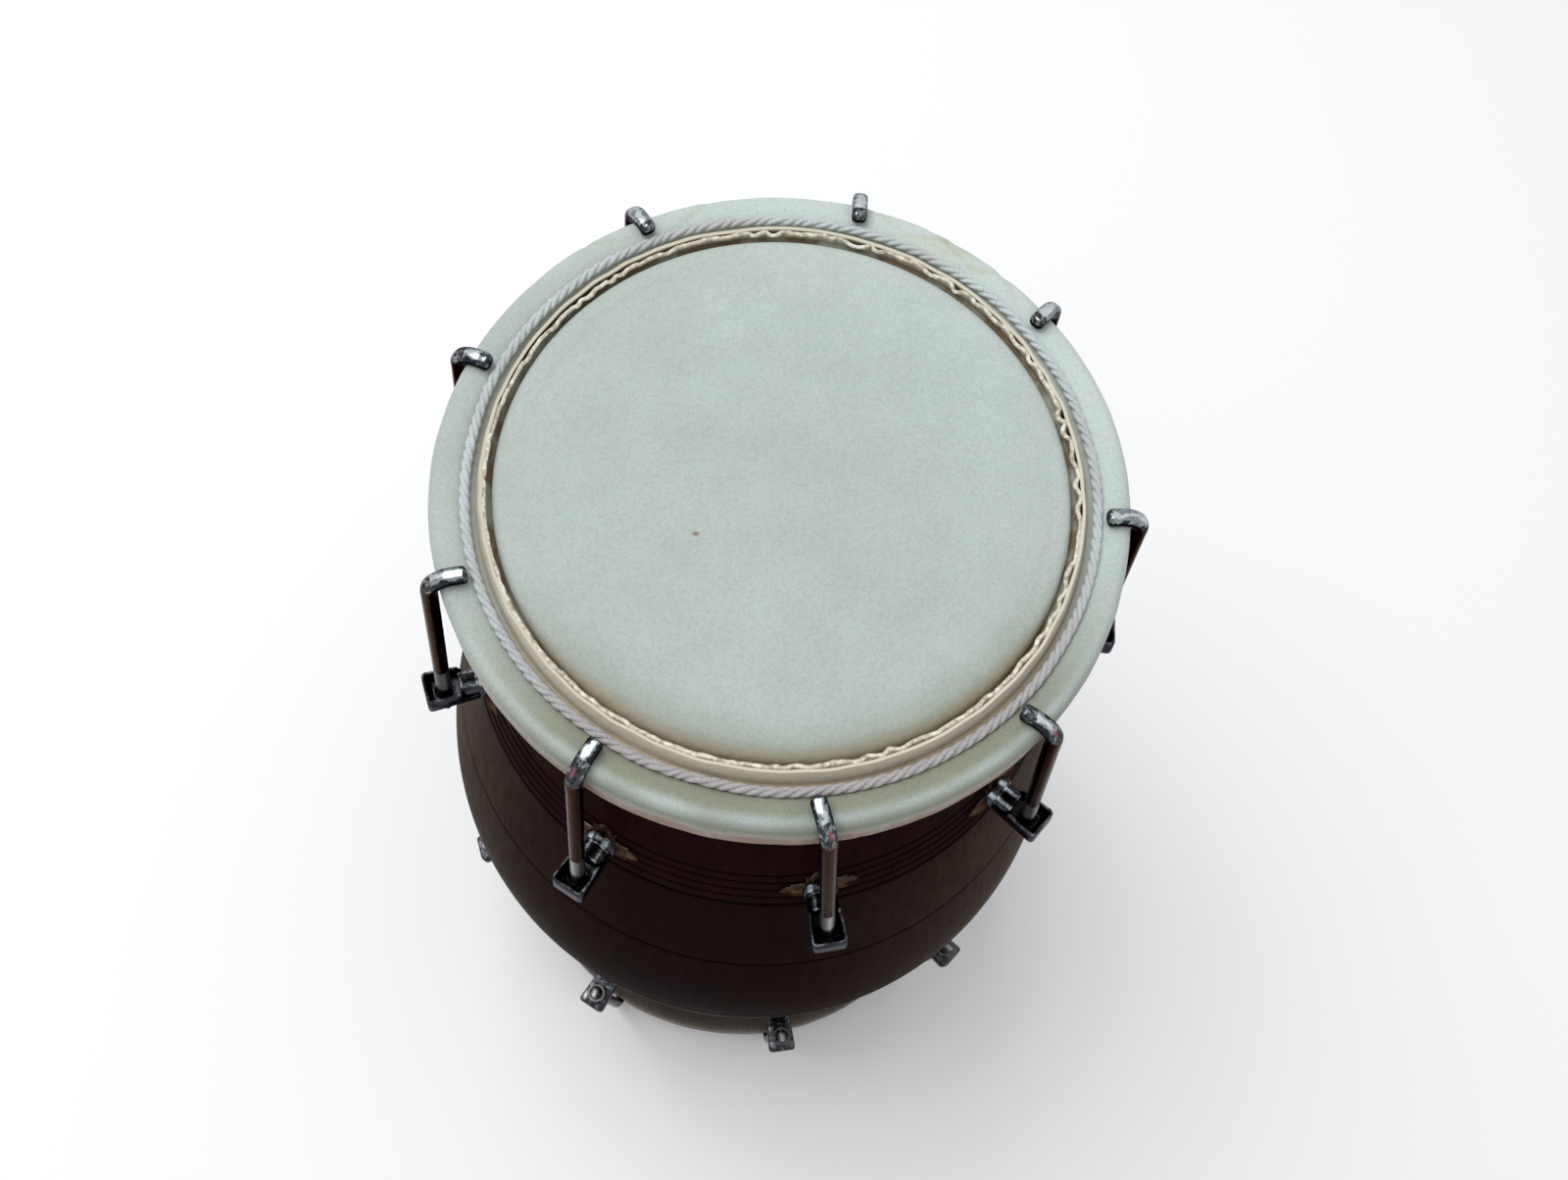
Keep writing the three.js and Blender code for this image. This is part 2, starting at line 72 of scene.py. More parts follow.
floor_mesh = bpy.data.meshes.new("floor")
FLOOR_REACH, FLOOR_DROP = 6.0, 0.0002
floor_mesh.from_pydata(
    [
        (x * FLOOR_REACH, y * FLOOR_REACH, -FLOOR_DROP)
        for x, y in ((-1, -1), (1, -1), (1, 1), (-1, 1))
    ],
    [],
    [(0, 1, 2, 3)],
)
floor = bpy.data.objects.new("floor", floor_mesh)
bpy.context.scene.collection.objects.link(floor)
floor_paint, _, _ = finish("floor_paint", (0.97, 0.97, 0.97), 0.9)
floor_mesh.materials.append(floor_paint)

sky = bpy.data.worlds.new("sky")
sky.use_nodes = True
sky.node_tree.nodes["Background"].inputs["Color"].default_value = (0.97, 0.985, 1.0, 1)
sky.node_tree.nodes["Background"].inputs["Strength"].default_value = 0.68
bpy.context.scene.world = sky

lamp_light = bpy.data.lights.new("lamp", "AREA")
lamp_light.shape = "SQUARE"
lamp_light.size = 1.6
lamp_light.energy = 34.0
lamp = bpy.data.objects.new("lamp", lamp_light)
lamp.matrix_world = Matrix.Translation((-0.7, 0.5, 2.6)) @ Matrix.Rotation(
    np.radians(-18), 4, "Y"
) @ Matrix.Rotation(np.radians(-12), 4, "X")
bpy.context.scene.collection.objects.link(lamp)


# Shell
# One block of wood, turned as a barrel and hollowed, stained a dark maroon and lacquered.
# The turner cut five fine grooves round it at the height of the treble lugs, one above the belly
# and one on it.
RING_SPAN = 520.0
SEAT_GAP = 0.3
ROD_RADIUS = 3.15
ROD_FLAT = ROD_RADIUS * np.cos(np.pi / 8)
BASS_FACE = 2 * ROD_FLAT + SEAT_GAP
TREBLE_FACE = BASS_FACE + RING_SPAN
BELLY_DROP = 288.08
BELLY_HEIGHT = TREBLE_FACE - BELLY_DROP
BELLY_RADIUS = 160.0
BELLY_ROUND = 44.0
MOUTH_BAND = 28.0
SHELL_WALL = 15.0
RING_WIDTH = 23.6
SKIN_THICKNESS = 1.2
RING_RADIUS = {"treble": 131.5, "bass": 147.0}
FACE = {"treble": TREBLE_FACE, "bass": BASS_FACE}
OUTWARD = {"treble": 1, "bass": -1}


def shell_radius(height):
    """The barrel's outside: a hyperbola on each side of the belly, straight at the mouths."""
    height = np.asarray(height, float)
    above = height > BELLY_HEIGHT
    ring = np.where(above, RING_RADIUS["treble"], RING_RADIUS["bass"])
    mouth = ring - RING_WIDTH - SKIN_THICKNESS - SEAT_GAP
    run = np.where(above, TREBLE_FACE - BELLY_HEIGHT, BELLY_HEIGHT - BASS_FACE) - MOUTH_BAND
    distance = np.minimum(np.abs(height - BELLY_HEIGHT), run)
    rise = np.hypot(distance, BELLY_ROUND) - BELLY_ROUND
    full = np.hypot(run, BELLY_ROUND) - BELLY_ROUND
    return BELLY_RADIUS - (BELLY_RADIUS - mouth) * rise / full


def grid_quads(rows, columns, closed_rows=False):
    """Corner numbers of the quads between neighbouring points of a grid stored row by row. Its
    columns close to a ring, and its rows do too if that is asked."""
    row = np.arange(rows if closed_rows else rows - 1)
    a, b = np.meshgrid(row, np.arange(columns), indexing="ij")
    c, d = (a + 1) % rows, (b + 1) % columns
    corners = [a * columns + b, a * columns + d, c * columns + d, c * columns + b]
    return np.stack(corners, -1).reshape(-1, 4)


def tube(points, closed_rows=False):
    """Points (rows, columns, 3) and quads of a tube. Its last row joins its first, or else caps
    close on the middle of each end row."""
    rows, columns = points.shape[:2]
    quads = grid_quads(rows, columns, closed_rows)
    flat = points.reshape(-1, 3)
    if not closed_rows:
        ends = [points[0].mean(0), points[-1].mean(0)]
        flat = np.vstack([flat, ends])
        near = np.arange(columns)
        far = near + (rows - 1) * columns
        first, last = rows * columns, rows * columns + 1
        caps = [(first, np.roll(near, -1), near), (last, far, np.roll(far, -1))]
        for middle, left, right in caps:
            fan = np.stack([np.full(columns, middle), left, right, np.full(columns, -1)], -1)
            quads = np.vstack([quads, fan])
    return flat, quads


def join(*solids):
    """Several (points, quads) as one."""
    points, quads, start = [], [], 0
    for solid_points, solid_quads in solids:
        points.append(solid_points)
        quads.append(np.where(solid_quads < 0, -1, solid_quads + start))
        start += len(solid_points)
    return np.vstack(points), np.vstack(quads)


def outward_faces(points, quads):
    """The quads turned round, if the closed surface they make has its inside out."""
    a, b, c = points[quads[:, 0]], points[quads[:, 1]], points[quads[:, 2]]
    d = points[np.where(quads[:, 3] < 0, quads[:, 2], quads[:, 3])]
    volume = np.einsum("ij,ij->", a, np.cross(b, c)) + np.einsum("ij,ij->", a, np.cross(c, d))
    if volume > 0:
        return quads
    turned = quads[:, [2, 1, 0, 3]]
    four = quads[:, 3] >= 0
    turned[four] = quads[four][:, ::-1]
    return turned


def add_piece(name, solid, body, slot, material, marks=None, smooth_angle=40, closed=True):
    """A mesh of (points, quads) in millimetres, with values at its points, riding on a body.
    The faces of a closed solid are turned outwards."""
    points, quads = solid
    if closed:
        quads = outward_faces(points, quads)
    faces = [tuple(q) if q[3] >= 0 else tuple(q[:3]) for q in quads.tolist()]
    mesh = bpy.data.meshes.new(name)
    mesh.from_pydata((points / 1000).tolist(), [], faces)
    for mark, values in (marks or {}).items():
        mesh.attributes.new(mark, "FLOAT", "POINT").data.foreach_set(
            "value", np.asarray(values, np.float32).ravel()
        )
    mesh.materials.append(material)
    mesh.shade_smooth()
    piece = bpy.data.objects.new(name, mesh)
    bpy.context.scene.collection.objects.link(piece)
    if smooth_angle < 180:
        mesh.set_sharp_from_angle(angle=np.radians(smooth_angle))
    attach(piece, body)
    return piece


def add_node(tree, kind, **settings):
    """A new shader node. A setting named as a socket sets it, and any other sets the node."""
    node = tree.nodes.new("ShaderNode" + kind)
    for key, value in settings.items():
        name = key.replace("_", " ")
        if name in node.inputs:
            node.inputs[name].default_value = value
        else:
            setattr(node, key, value)
    return node


def noise(tree, scale, detail=4.0, roughness=0.5, stretch=(1, 1, 1)):
    """Noise on the piece's own place in metres, stretched along its axes."""
    where = add_node(tree, "TexCoord")
    spread = add_node(tree, "Mapping", Scale=stretch)
    tree.links.new(where.outputs["Object"], spread.inputs["Vector"])
    cloud = add_node(tree, "TexNoise", Scale=scale, Detail=detail, Roughness=roughness)
    tree.links.new(spread.outputs["Vector"], cloud.inputs["Vector"])
    return cloud.outputs["Fac"]


def ramp(tree, factor, *stops):
    """Colours or greys at places along a factor."""
    node = add_node(tree, "ValToRGB")
    while len(node.color_ramp.elements) < len(stops):
        node.color_ramp.elements.new(0.5)
    for element, (place, colour) in zip(node.color_ramp.elements, stops):
        element.position = place
        element.color = (*(colour if isinstance(colour, tuple) else (colour,) * 3), 1)
    tree.links.new(factor, node.inputs["Fac"])
    return node.outputs["Color"]


def blended(tree, factor, first, second, how="MIX"):
    """A mix of two colours. Each is a socket or a plain colour, and the factor is a socket or
    a number."""
    node = add_node(tree, "Mix", data_type="RGBA", blend_type=how)
    sockets = node.inputs[0], node.inputs[6], node.inputs[7]
    for socket, value in zip(sockets, (factor, first, second)):
        if isinstance(value, bpy.types.NodeSocket):
            tree.links.new(value, socket)
        elif isinstance(value, tuple):
            socket.default_value = (*value, 1)
        else:
            socket.default_value = value
    return node.outputs[2]


def layered(tree, base, *layers):
    """Layers of (factor, colour) or (factor, colour, way of mixing) laid on a base in turn."""
    for factor, *layer in layers:
        base = blended(tree, factor, base, *layer)
    return base


def dress(tree, shader, colour, *bumps):
    """A colour into the shader, and bumps of (height socket, depth in mm), one on another."""
    tree.links.new(colour, shader.inputs["Base Color"])
    before = None
    for height, depth in bumps:
        bump = add_node(tree, "Bump", Distance=depth / 1000)
        tree.links.new(height, bump.inputs["Height"])
        if before:
            tree.links.new(before, bump.inputs["Normal"])
        before = bump.outputs["Normal"]
    tree.links.new(before, shader.inputs["Normal"])


def mark_value(tree, name):
    """A value that the mesh carries at its points."""
    return add_node(tree, "Attribute", attribute_name=name).outputs["Fac"]


GROOVES = [  # height below the treble ring's face, half width, depth
    *[(drop, 0.85, 0.6) for drop in (106.6, 113.3, 119.9, 126.8)],
    (134.3, 1.2, 0.8),
    (201.5, 0.8, 0.8),
    (288.0, 0.9, 0.9),
]
STAIN_DROP = 138.0  # where the redder stain of the treble end stops; the band also stands for painted shade under the ring
SHELL_COLUMNS = 256
RIM_DEPTH = 9.0
plain_heights = np.linspace(BASS_FACE + RIM_DEPTH, TREBLE_FACE - RIM_DEPTH, 90)
groove_heights = np.concatenate(
    [TREBLE_FACE - drop + np.linspace(-2, 2, 9) * half for drop, half, _ in GROOVES]
)
shell_heights = np.unique(np.concatenate([plain_heights, groove_heights]))
shell_cut = np.zeros_like(shell_heights)
for drop, half, depth in GROOVES:
    place = (shell_heights - (TREBLE_FACE - drop)) / half
    shell_cut = np.maximum(shell_cut, depth * np.exp(-(place**2) * 1.6))


def mouth_rim(end):
    """The bearing edge: an arc from the outside up to the rim, and the rim's inner edge."""
    outer = RING_RADIUS[end] - RING_WIDTH - SKIN_THICKNESS - SEAT_GAP
    bearing = 9.1
    turn = np.linspace(0, np.pi / 2, 8)
    radius = outer - bearing + bearing * np.cos(turn)
    height = -bearing + bearing * np.sin(turn)
    radius = np.append(radius, outer - SHELL_WALL)
    height = np.append(height, 0.0)
    return radius, FACE[end] + OUTWARD[end] * height


treble_rim, bass_rim = mouth_rim("treble"), mouth_rim("bass")
HOLLOW_ABOVE, HOLLOW_BELOW = 190, 150
hollow_heights = np.linspace(BELLY_HEIGHT + HOLLOW_ABOVE, BELLY_HEIGHT - HOLLOW_BELOW, 24)
hollow_radii = shell_radius(hollow_heights) - SHELL_WALL
shell_profile_r = np.concatenate(
    [bass_rim[0][::-1], shell_radius(shell_heights) - shell_cut, treble_rim[0], hollow_radii]
)
shell_profile_z = np.concatenate([bass_rim[1][::-1], shell_heights, treble_rim[1], hollow_heights])
shell_mark = np.concatenate(
    [np.zeros(len(bass_rim[0])), shell_cut, np.zeros(len(treble_rim[0]) + len(hollow_heights))]
)


def around_axis(radius, turn, height):
    """Points at a distance from the drum's axis, an angle round it and a height."""
    return np.stack(
        np.broadcast_arrays(radius * np.cos(turn), radius * np.sin(turn), height), -1
    )


def revolved(radius, height, columns):
    """A profile turned about the drum's axis. Radius and height may vary round it."""
    turn = np.arange(columns) * 2 * np.pi / columns
    radius = np.reshape(radius, (len(radius), -1))
    return around_axis(radius, turn, np.reshape(height, (len(height), -1)))


lacquer, tree, shader = finish(
    "maroon_lacquer", (0.02, 0.008, 0.007), 0.32, Specular_IOR_Level=0.0012
)
fibres = noise(tree, 240.0, 6.0, 0.62, (1, 1, 0.045))
clouds = noise(tree, 9.0, 3.0, 0.5, (1, 1, 0.6))
brown = ramp(tree, fibres, (0.3, (0.0062, 0.0022, 0.0022)), (0.7, (0.0118, 0.0046, 0.0044)))
# The barrel's sides are painted a lighter brown: a painted sheen where they turn away towards the
# floor.
painted_side_sheen = ramp(tree, fibres, (0.3, (0.027, 0.0160, 0.0105)), (0.7, (0.052, 0.0315, 0.0215)))
maroon = ramp(tree, fibres, (0.3, (0.0080, 0.0020, 0.0023)), (0.7, (0.0165, 0.0046, 0.0048)))
nicks = ramp(tree, noise(tree, 620.0, 2.0, 0.5, (1, 1, 2.2)), (0.755, 0.0), (0.775, 1.0))
# The grooves are painted darker, as painted shade in them.
painted_groove_shade = ramp(tree, mark_value(tree, "groove"), (0.05, 0.0), (0.5, 1.0))
stain = layered(
    tree,
    brown,
    (mark_value(tree, "side_sheen"), painted_side_sheen),
    # A redder maroon under the treble ring, laid over the painted side sheen as painted shade of
    # the ring.
    (mark_value(tree, "upper"), maroon),
    (ramp(tree, clouds, (0.45, 0.0), (0.75, 0.35)), (0.017, 0.0075, 0.0062)),
    (nicks, (0.11, 0.065, 0.045)),
    (painted_groove_shade, (0.0015, 0.0010, 0.0010)),
)
dress(tree, shader, stain, (fibres, 0.10), (clouds, 0.3))
tree.links.new(ramp(tree, clouds, (0.35, 0.30), (0.7, 0.44)), shader.inputs["Roughness"])

shell_angle = np.arange(SHELL_COLUMNS) * 2 * np.pi / SHELL_COLUMNS
# The share of the painted side sheen round the barrel, weaker towards the back.
shell_side_sheen = np.clip((0.97 + np.sin(shell_angle + np.radians(13))) / 0.52, 0, 1)
shell_side_sheen = shell_side_sheen * (1 - 0.6 * np.clip(np.sin(shell_angle), 0, 1))
stained = np.clip((shell_profile_z - (TREBLE_FACE - STAIN_DROP)) / 6, 0, 1)

shell = add_piece(
    "barrel_shell",
    tube(revolved(shell_profile_r, shell_profile_z, SHELL_COLUMNS), closed_rows=True),
    "drum",
    "lacquered_wood",
    lacquer,
    {
        "groove": np.repeat(shell_mark, SHELL_COLUMNS),
        "upper": np.repeat(stained, SHELL_COLUMNS),
        "side_sheen": np.tile(shell_side_sheen, len(shell_profile_z)),
    },
)
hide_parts("shell")


# Hoops
# A strip of cane coiled and bound into a stiff ring. The wet rawhide is lapped round it and
# hides it, so it keeps the plain solid of the CAD frame.
cane, tree, shader = finish("cane", (0.36, 0.22, 0.11), 0.6)
strands = noise(tree, 160.0, 4.0, 0.6, (0.3, 0.3, 3))
bark = ramp(tree, strands, (0.35, (0.24, 0.14, 0.06)), (0.65, (0.45, 0.29, 0.15)))
dress(tree, shader, bark, (strands, 0.4))
for hoop in ("treble_hoop", "bass_hoop"):
    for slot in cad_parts[hoop].material_slots:
        slot.material = cane


# Heads
# Each head is one sheet of goat rawhide, soaked and drawn over the mouth while wet.
# It goes down inside the hoop, under it, up round its outside and back over its top, and its
# trimmed edge stands up inside the cord.
HEAD_COLUMNS = 540
FACE_ROWS = 21
RING_HEIGHT = 26.0
HOOP_EASE, HOOP_WIDTH = 0.8, 15.0


def ripple(angle, seed, waves, spread):
    """A smooth uneven wave round the drum, about -1 to 1, from a few sine waves."""
    rng = np.random.default_rng(seed)
    turns = rng.integers(waves[0], waves[1], spread)
    phases = rng.uniform(0, 2 * np.pi, spread)
    heights = rng.uniform(0.4, 1.0, spread)
    wave = (heights[:, None] * np.sin(turns[:, None] * angle + phases[:, None])).sum(0)
    return wave / heights.sum() * 1.6


def rounded_path(corners, reach, steps=6):
    """Corners joined by straight runs, each corner cut by a smooth bend of that reach."""
    path = [corners[0]]
    for before, corner, after, cut in zip(corners, corners[1:], corners[2:], reach):
        into, out = before - corner, after - corner
        cut_in = min(cut, 0.48 * np.hypot(*into))
        cut_out = min(cut, 0.48 * np.hypot(*out))
        start = corner + into / np.hypot(*into) * cut_in
        end = corner + out / np.hypot(*out) * cut_out
        t = np.linspace(0, 1, steps)[:, None]
        path.extend((1 - t) ** 2 * start + 2 * t * (1 - t) * corner + t**2 * end)
    path.append(corners[-1])
    return np.array(path)


def evenly(path, step):
    """Points along a path, about a step apart, keeping its bends."""
    along = np.concatenate([[0], np.cumsum(np.hypot(*np.diff(path, axis=0).T))])
    count = max(int(along[-1] / step) + 1, 2)
    at = np.linspace(0, along[-1], count)
    return np.stack([np.interp(at, along, path[:, 0]), np.interp(at, along, path[:, 1])], -1)


def beside(path, offset):
    """The path moved to its left by an offset."""
    along = np.gradient(path, axis=0)
    along /= np.hypot(*along.T)[:, None]
    return path + offset * np.stack([-along[:, 1], along[:, 0]], -1)


def near_side(angle):
    """1 along the side of the drum at -Y, fading to 0 at its flanks. It weights the painted shade
    on that side, and some changes of shape there.
    """
    share = np.clip((-np.sin(angle) - 0.25) / 0.6, 0, 1)
    return share * share * (3 - 2 * share)


def stepped_tone(angle, seed, lengths):
    """A tone that keeps still over random stretches and then jumps, used as painted light and
    shade between stiff folds.
    """
    rng = np.random.default_rng(seed)
    knots = np.cumsum(rng.uniform(*lengths, 400))
    knots = knots[knots < 2 * np.pi]
    tones = rng.uniform(-1, 1, len(knots) + 1)
    tones[-1] = tones[0]
    blur = 0.004
    tone = np.full_like(angle, tones[0])
    for knot, change in zip(knots, np.diff(tones)):
        tone += change / (1 + np.exp(-(angle - knot) / blur))
    return tone


def onto_end(points, end):
    """Points that hold their distance out from a ring's face as their third number, moved to
    that end of the drum. The bass end is the treble end's mirror image."""
    away = FACE[end] + OUTWARD[end] * points[..., 2]
    return np.stack([points[..., 0], OUTWARD[end] * points[..., 1], away], -1)


def fold_path(ring):
    """The section through the middle of the sheet, as (radius, height over the ring's face)
    from the middle of the playing face on, and each point's share of the way along the fold."""
    half = SKIN_THICKNESS / 2
    edge = ring - RING_WIDTH
    crown = 1.5 - half
    bottom = half - RING_HEIGHT
    hoop_inner = ring - SKIN_THICKNESS - HOOP_EASE - HOOP_WIDTH
    outer = ring - half
    corners = np.array(
        [
            [edge - 9.0, crown],
            [edge - 7.0, crown],
            [edge - 4.0, crown - 0.2],
            [edge - 0.7, crown - 1.2],
            [edge, crown - 9.0],
            [hoop_inner - 1.4, bottom],
            [outer, bottom],
            [outer, -half],
            [ring - 9.5, -half],
            [ring - 17.4, -5.2],
            [ring - 20.1, 3.2],
        ]
    )
    bends = [1.4, 1.6, 2.0, 5.0, 2.5, 6.0, 7.0, 4.0, 2.0]
    fold = evenly(rounded_path(corners, bends), 1.05)
    playing = np.linspace(0.5, edge - 9.0, FACE_ROWS + 1)[:-1]
    path = np.vstack([np.stack([playing, np.full(FACE_ROWS, crown)], -1), fold])
    return path, np.concatenate([np.zeros(FACE_ROWS), np.linspace(0, 1, len(fold))])


def head_sheet(end, seed):
    """The sheet of one head as (points, quads), and its marks. Its skin is the section moved
    half its thickness to each side, with the waves, tucks and creases of the real sheet."""
    ring = RING_RADIUS[end]
    half = SKIN_THICKNESS / 2
    edge = ring - RING_WIDTH
    path, along = fold_path(ring)
    lap = int(np.argmax(path[:, 1] < half - RING_HEIGHT + 1.0))
    shown = np.arange(len(path)) < lap
    last = np.arange(len(path)) > len(path) - 14
    coarse = np.arange(len(path)) % 4 == 0
    over = shown | coarse | last
    under = (~shown | coarse)[::-1]
    middle = np.vstack([path[over], path[::-1][under]])
    skin = np.vstack([beside(path, half)[over], beside(path, -half)[::-1][under]])
    along = np.concatenate([along[over], along[::-1][under]])[:, None]
    outside = np.concatenate([np.zeros(over.sum()), np.ones(under.sum())])[:, None]
    at_radius, at_height = middle[:, 0:1], middle[:, 1:2]

    angle = np.arange(HEAD_COLUMNS) * 2 * np.pi / HEAD_COLUMNS
    near = near_side(angle)
    wall = np.clip((at_radius - (ring - 16)) / 8, 0, 1)
    low_wall = np.clip((-6 - at_height) / 14, 0, 1) * wall
    tail = np.clip((along - 0.92) / 0.08, 0, 1)
    uneven = 0.45 * ripple(angle, seed, (2, 9), 6) + 0.16 * ripple(angle, seed + 1, (20, 60), 14)
    tucks = 0.4 * np.clip(ripple(angle, seed + 5, (30, 90), 20), 0, 1) ** 2
    sway = 0.5 * ripple(angle, seed + 3, (8, 60), 20)
    radius = skin[:, 0:1] + wall * uneven - low_wall * tucks + tail * sway
    height = skin[:, 1:2] + wall * 0.35 * ripple(angle, seed + 2, (5, 30), 12)
    height = height + tail * 0.35 * ripple(angle, seed + 4, (6, 26), 10)
    bend_at = np.radians([41, 48, 54, 60, 67, 104, 121])
    skew = np.array([1.6, -1.2, 2.2, -1.8, 1.4, -1.2, 1.5])
    slant = angle[None, :, None] - bend_at - skew * (at_radius[:, :, None] - ring + 6) / 90
    valley = np.exp(-((slant / 0.018) ** 2))
    crease = (valley - 0.5 * np.exp(-(((slant - 0.04) / 0.03) ** 2))).sum(-1)
    on_back = np.clip((at_radius - (ring - 11)) / 3, 0, 1) * (at_height > -9)
    height = height - 0.55 * on_back * crease
    face_dip = 0.35 * (at_radius / edge) ** 2 * ripple(angle, seed + 6, (1, 5), 4)
    height = height + np.where(along == 0, face_dip, 0)
    on_roll = (at_height > -7) & (at_radius < ring - 20) & (along < 0.5)
    roll = np.where(on_roll, np.clip((at_radius - (edge - 8)) / 8, 0, 1) ** 2, 0)
    height = height - 1.0 * roll * near
    points, quads = tube(revolved(radius, height, HEAD_COLUMNS))

    blotch = 1 + 0.30 * ripple(angle, seed + 7, (3, 30), 12)
    folds = stepped_tone(angle, seed + 8, (0.03, 0.11))
    inward = at_radius < ring - 12
    # The hide's own tan where the face turns down, reaching farther in and deeper on the near side
    # as painted shade.
    start = edge - 0.3 - 6.0 * near + 0.8 * near * ripple(angle, seed + 9, (6, 30), 10)
    over_edge = np.clip((at_radius - start) / (1.2 + 5.5 * near), 0, 1) * (along < 0.5)
    over_edge = np.maximum(over_edge, np.clip((-1.6 - at_height) / 2.5, 0, 1) * (along < 0.5))
    tail_inside = 0.9 * tail * (1 - outside)
    drape_at = np.clip((angle - 0.012 * (at_height + 13)) % (2 * np.pi), 0, 2 * np.pi)
    drape = stepped_tone(drape_at, seed + 10, (0.03, 0.09))
    # The crest of the ring, where the painted shade of the near side is lifted as a painted
    # highlight.
    crest = np.exp(-(((at_radius - (ring - 3.2)) / 2.0) ** 2)) * (at_height > -4)
    low = np.clip((-14 + 9 * near - at_height) / (12 - 2 * near), 0, 1)
    wide_fold_shade = np.exp(-(((angle - 0.96) / 0.12) ** 2))
    fields = {
        "tan": np.maximum(over_edge * inward * (0.45 + 0.35 * near + 0.2 * blotch), tail_inside),
        # Browner and darker towards the ring's lower edge, reaching higher on the near side.
        "soil": low * ~inward * blotch,
        # Painted shade over the near side of the ring, lifted along its crest as a painted
        # highlight.
        "near": near
        * np.clip((at_radius - (edge - 22)) / 22, 0, 1) ** 2
        * (1 - 0.9 * crest * blotch)
        * (1 - tail),
        # The tail's own tan, deeper on the near side as painted shade, with painted light and
        # shade in steps between its folds.
        "tail": np.clip((along - 0.885) / 0.03, 0, 1)
        * outside
        * (0.40 + 0.45 * near + (0.05 + 0.15 * near) * folds),
        "brim": np.clip((along - 0.955 + 0.03 * near) / 0.02, 0, 1) * np.ones_like(angle),
        # Painted shade in the creases, and in one broad fold, on the far side of the ring.
        "crease": on_back * np.clip(0.45 * crease + 0.6 * wide_fold_shade, 0, 1),
        # Painted light on the far right side of the ring, and faintly across that side of the
        # face.
        "clean": np.clip(np.cos(angle - np.radians(50)), 0, 1)
        * np.where(at_radius > ring - 14, 1.2, 0.5 * (at_radius / edge) ** 2),
        # Painted light on diagonal folds of the bass ring.
        "drape": np.clip(0.5 + 0.6 * drape, 0, 1) * ~inward * (end == "bass"),
    }
    marks = {}
    for name, field in fields.items():
        marks[name] = np.append(np.clip(field, 0, 1).ravel(), [0, 0])
    return (onto_end(points, end), quads), marks


def math_of(tree, operation, *values):
    """A sum or other operation on sockets and plain numbers."""
    node = add_node(tree, "Math", operation=operation)
    for socket, value in zip(node.inputs, values):
        if isinstance(value, bpy.types.NodeSocket):
            tree.links.new(value, socket)
        else:
            socket.default_value = value
    return node.outputs["Value"]


def times(colour, factor):
    """A colour made lighter or darker."""
    return tuple(factor * channel for channel in colour)


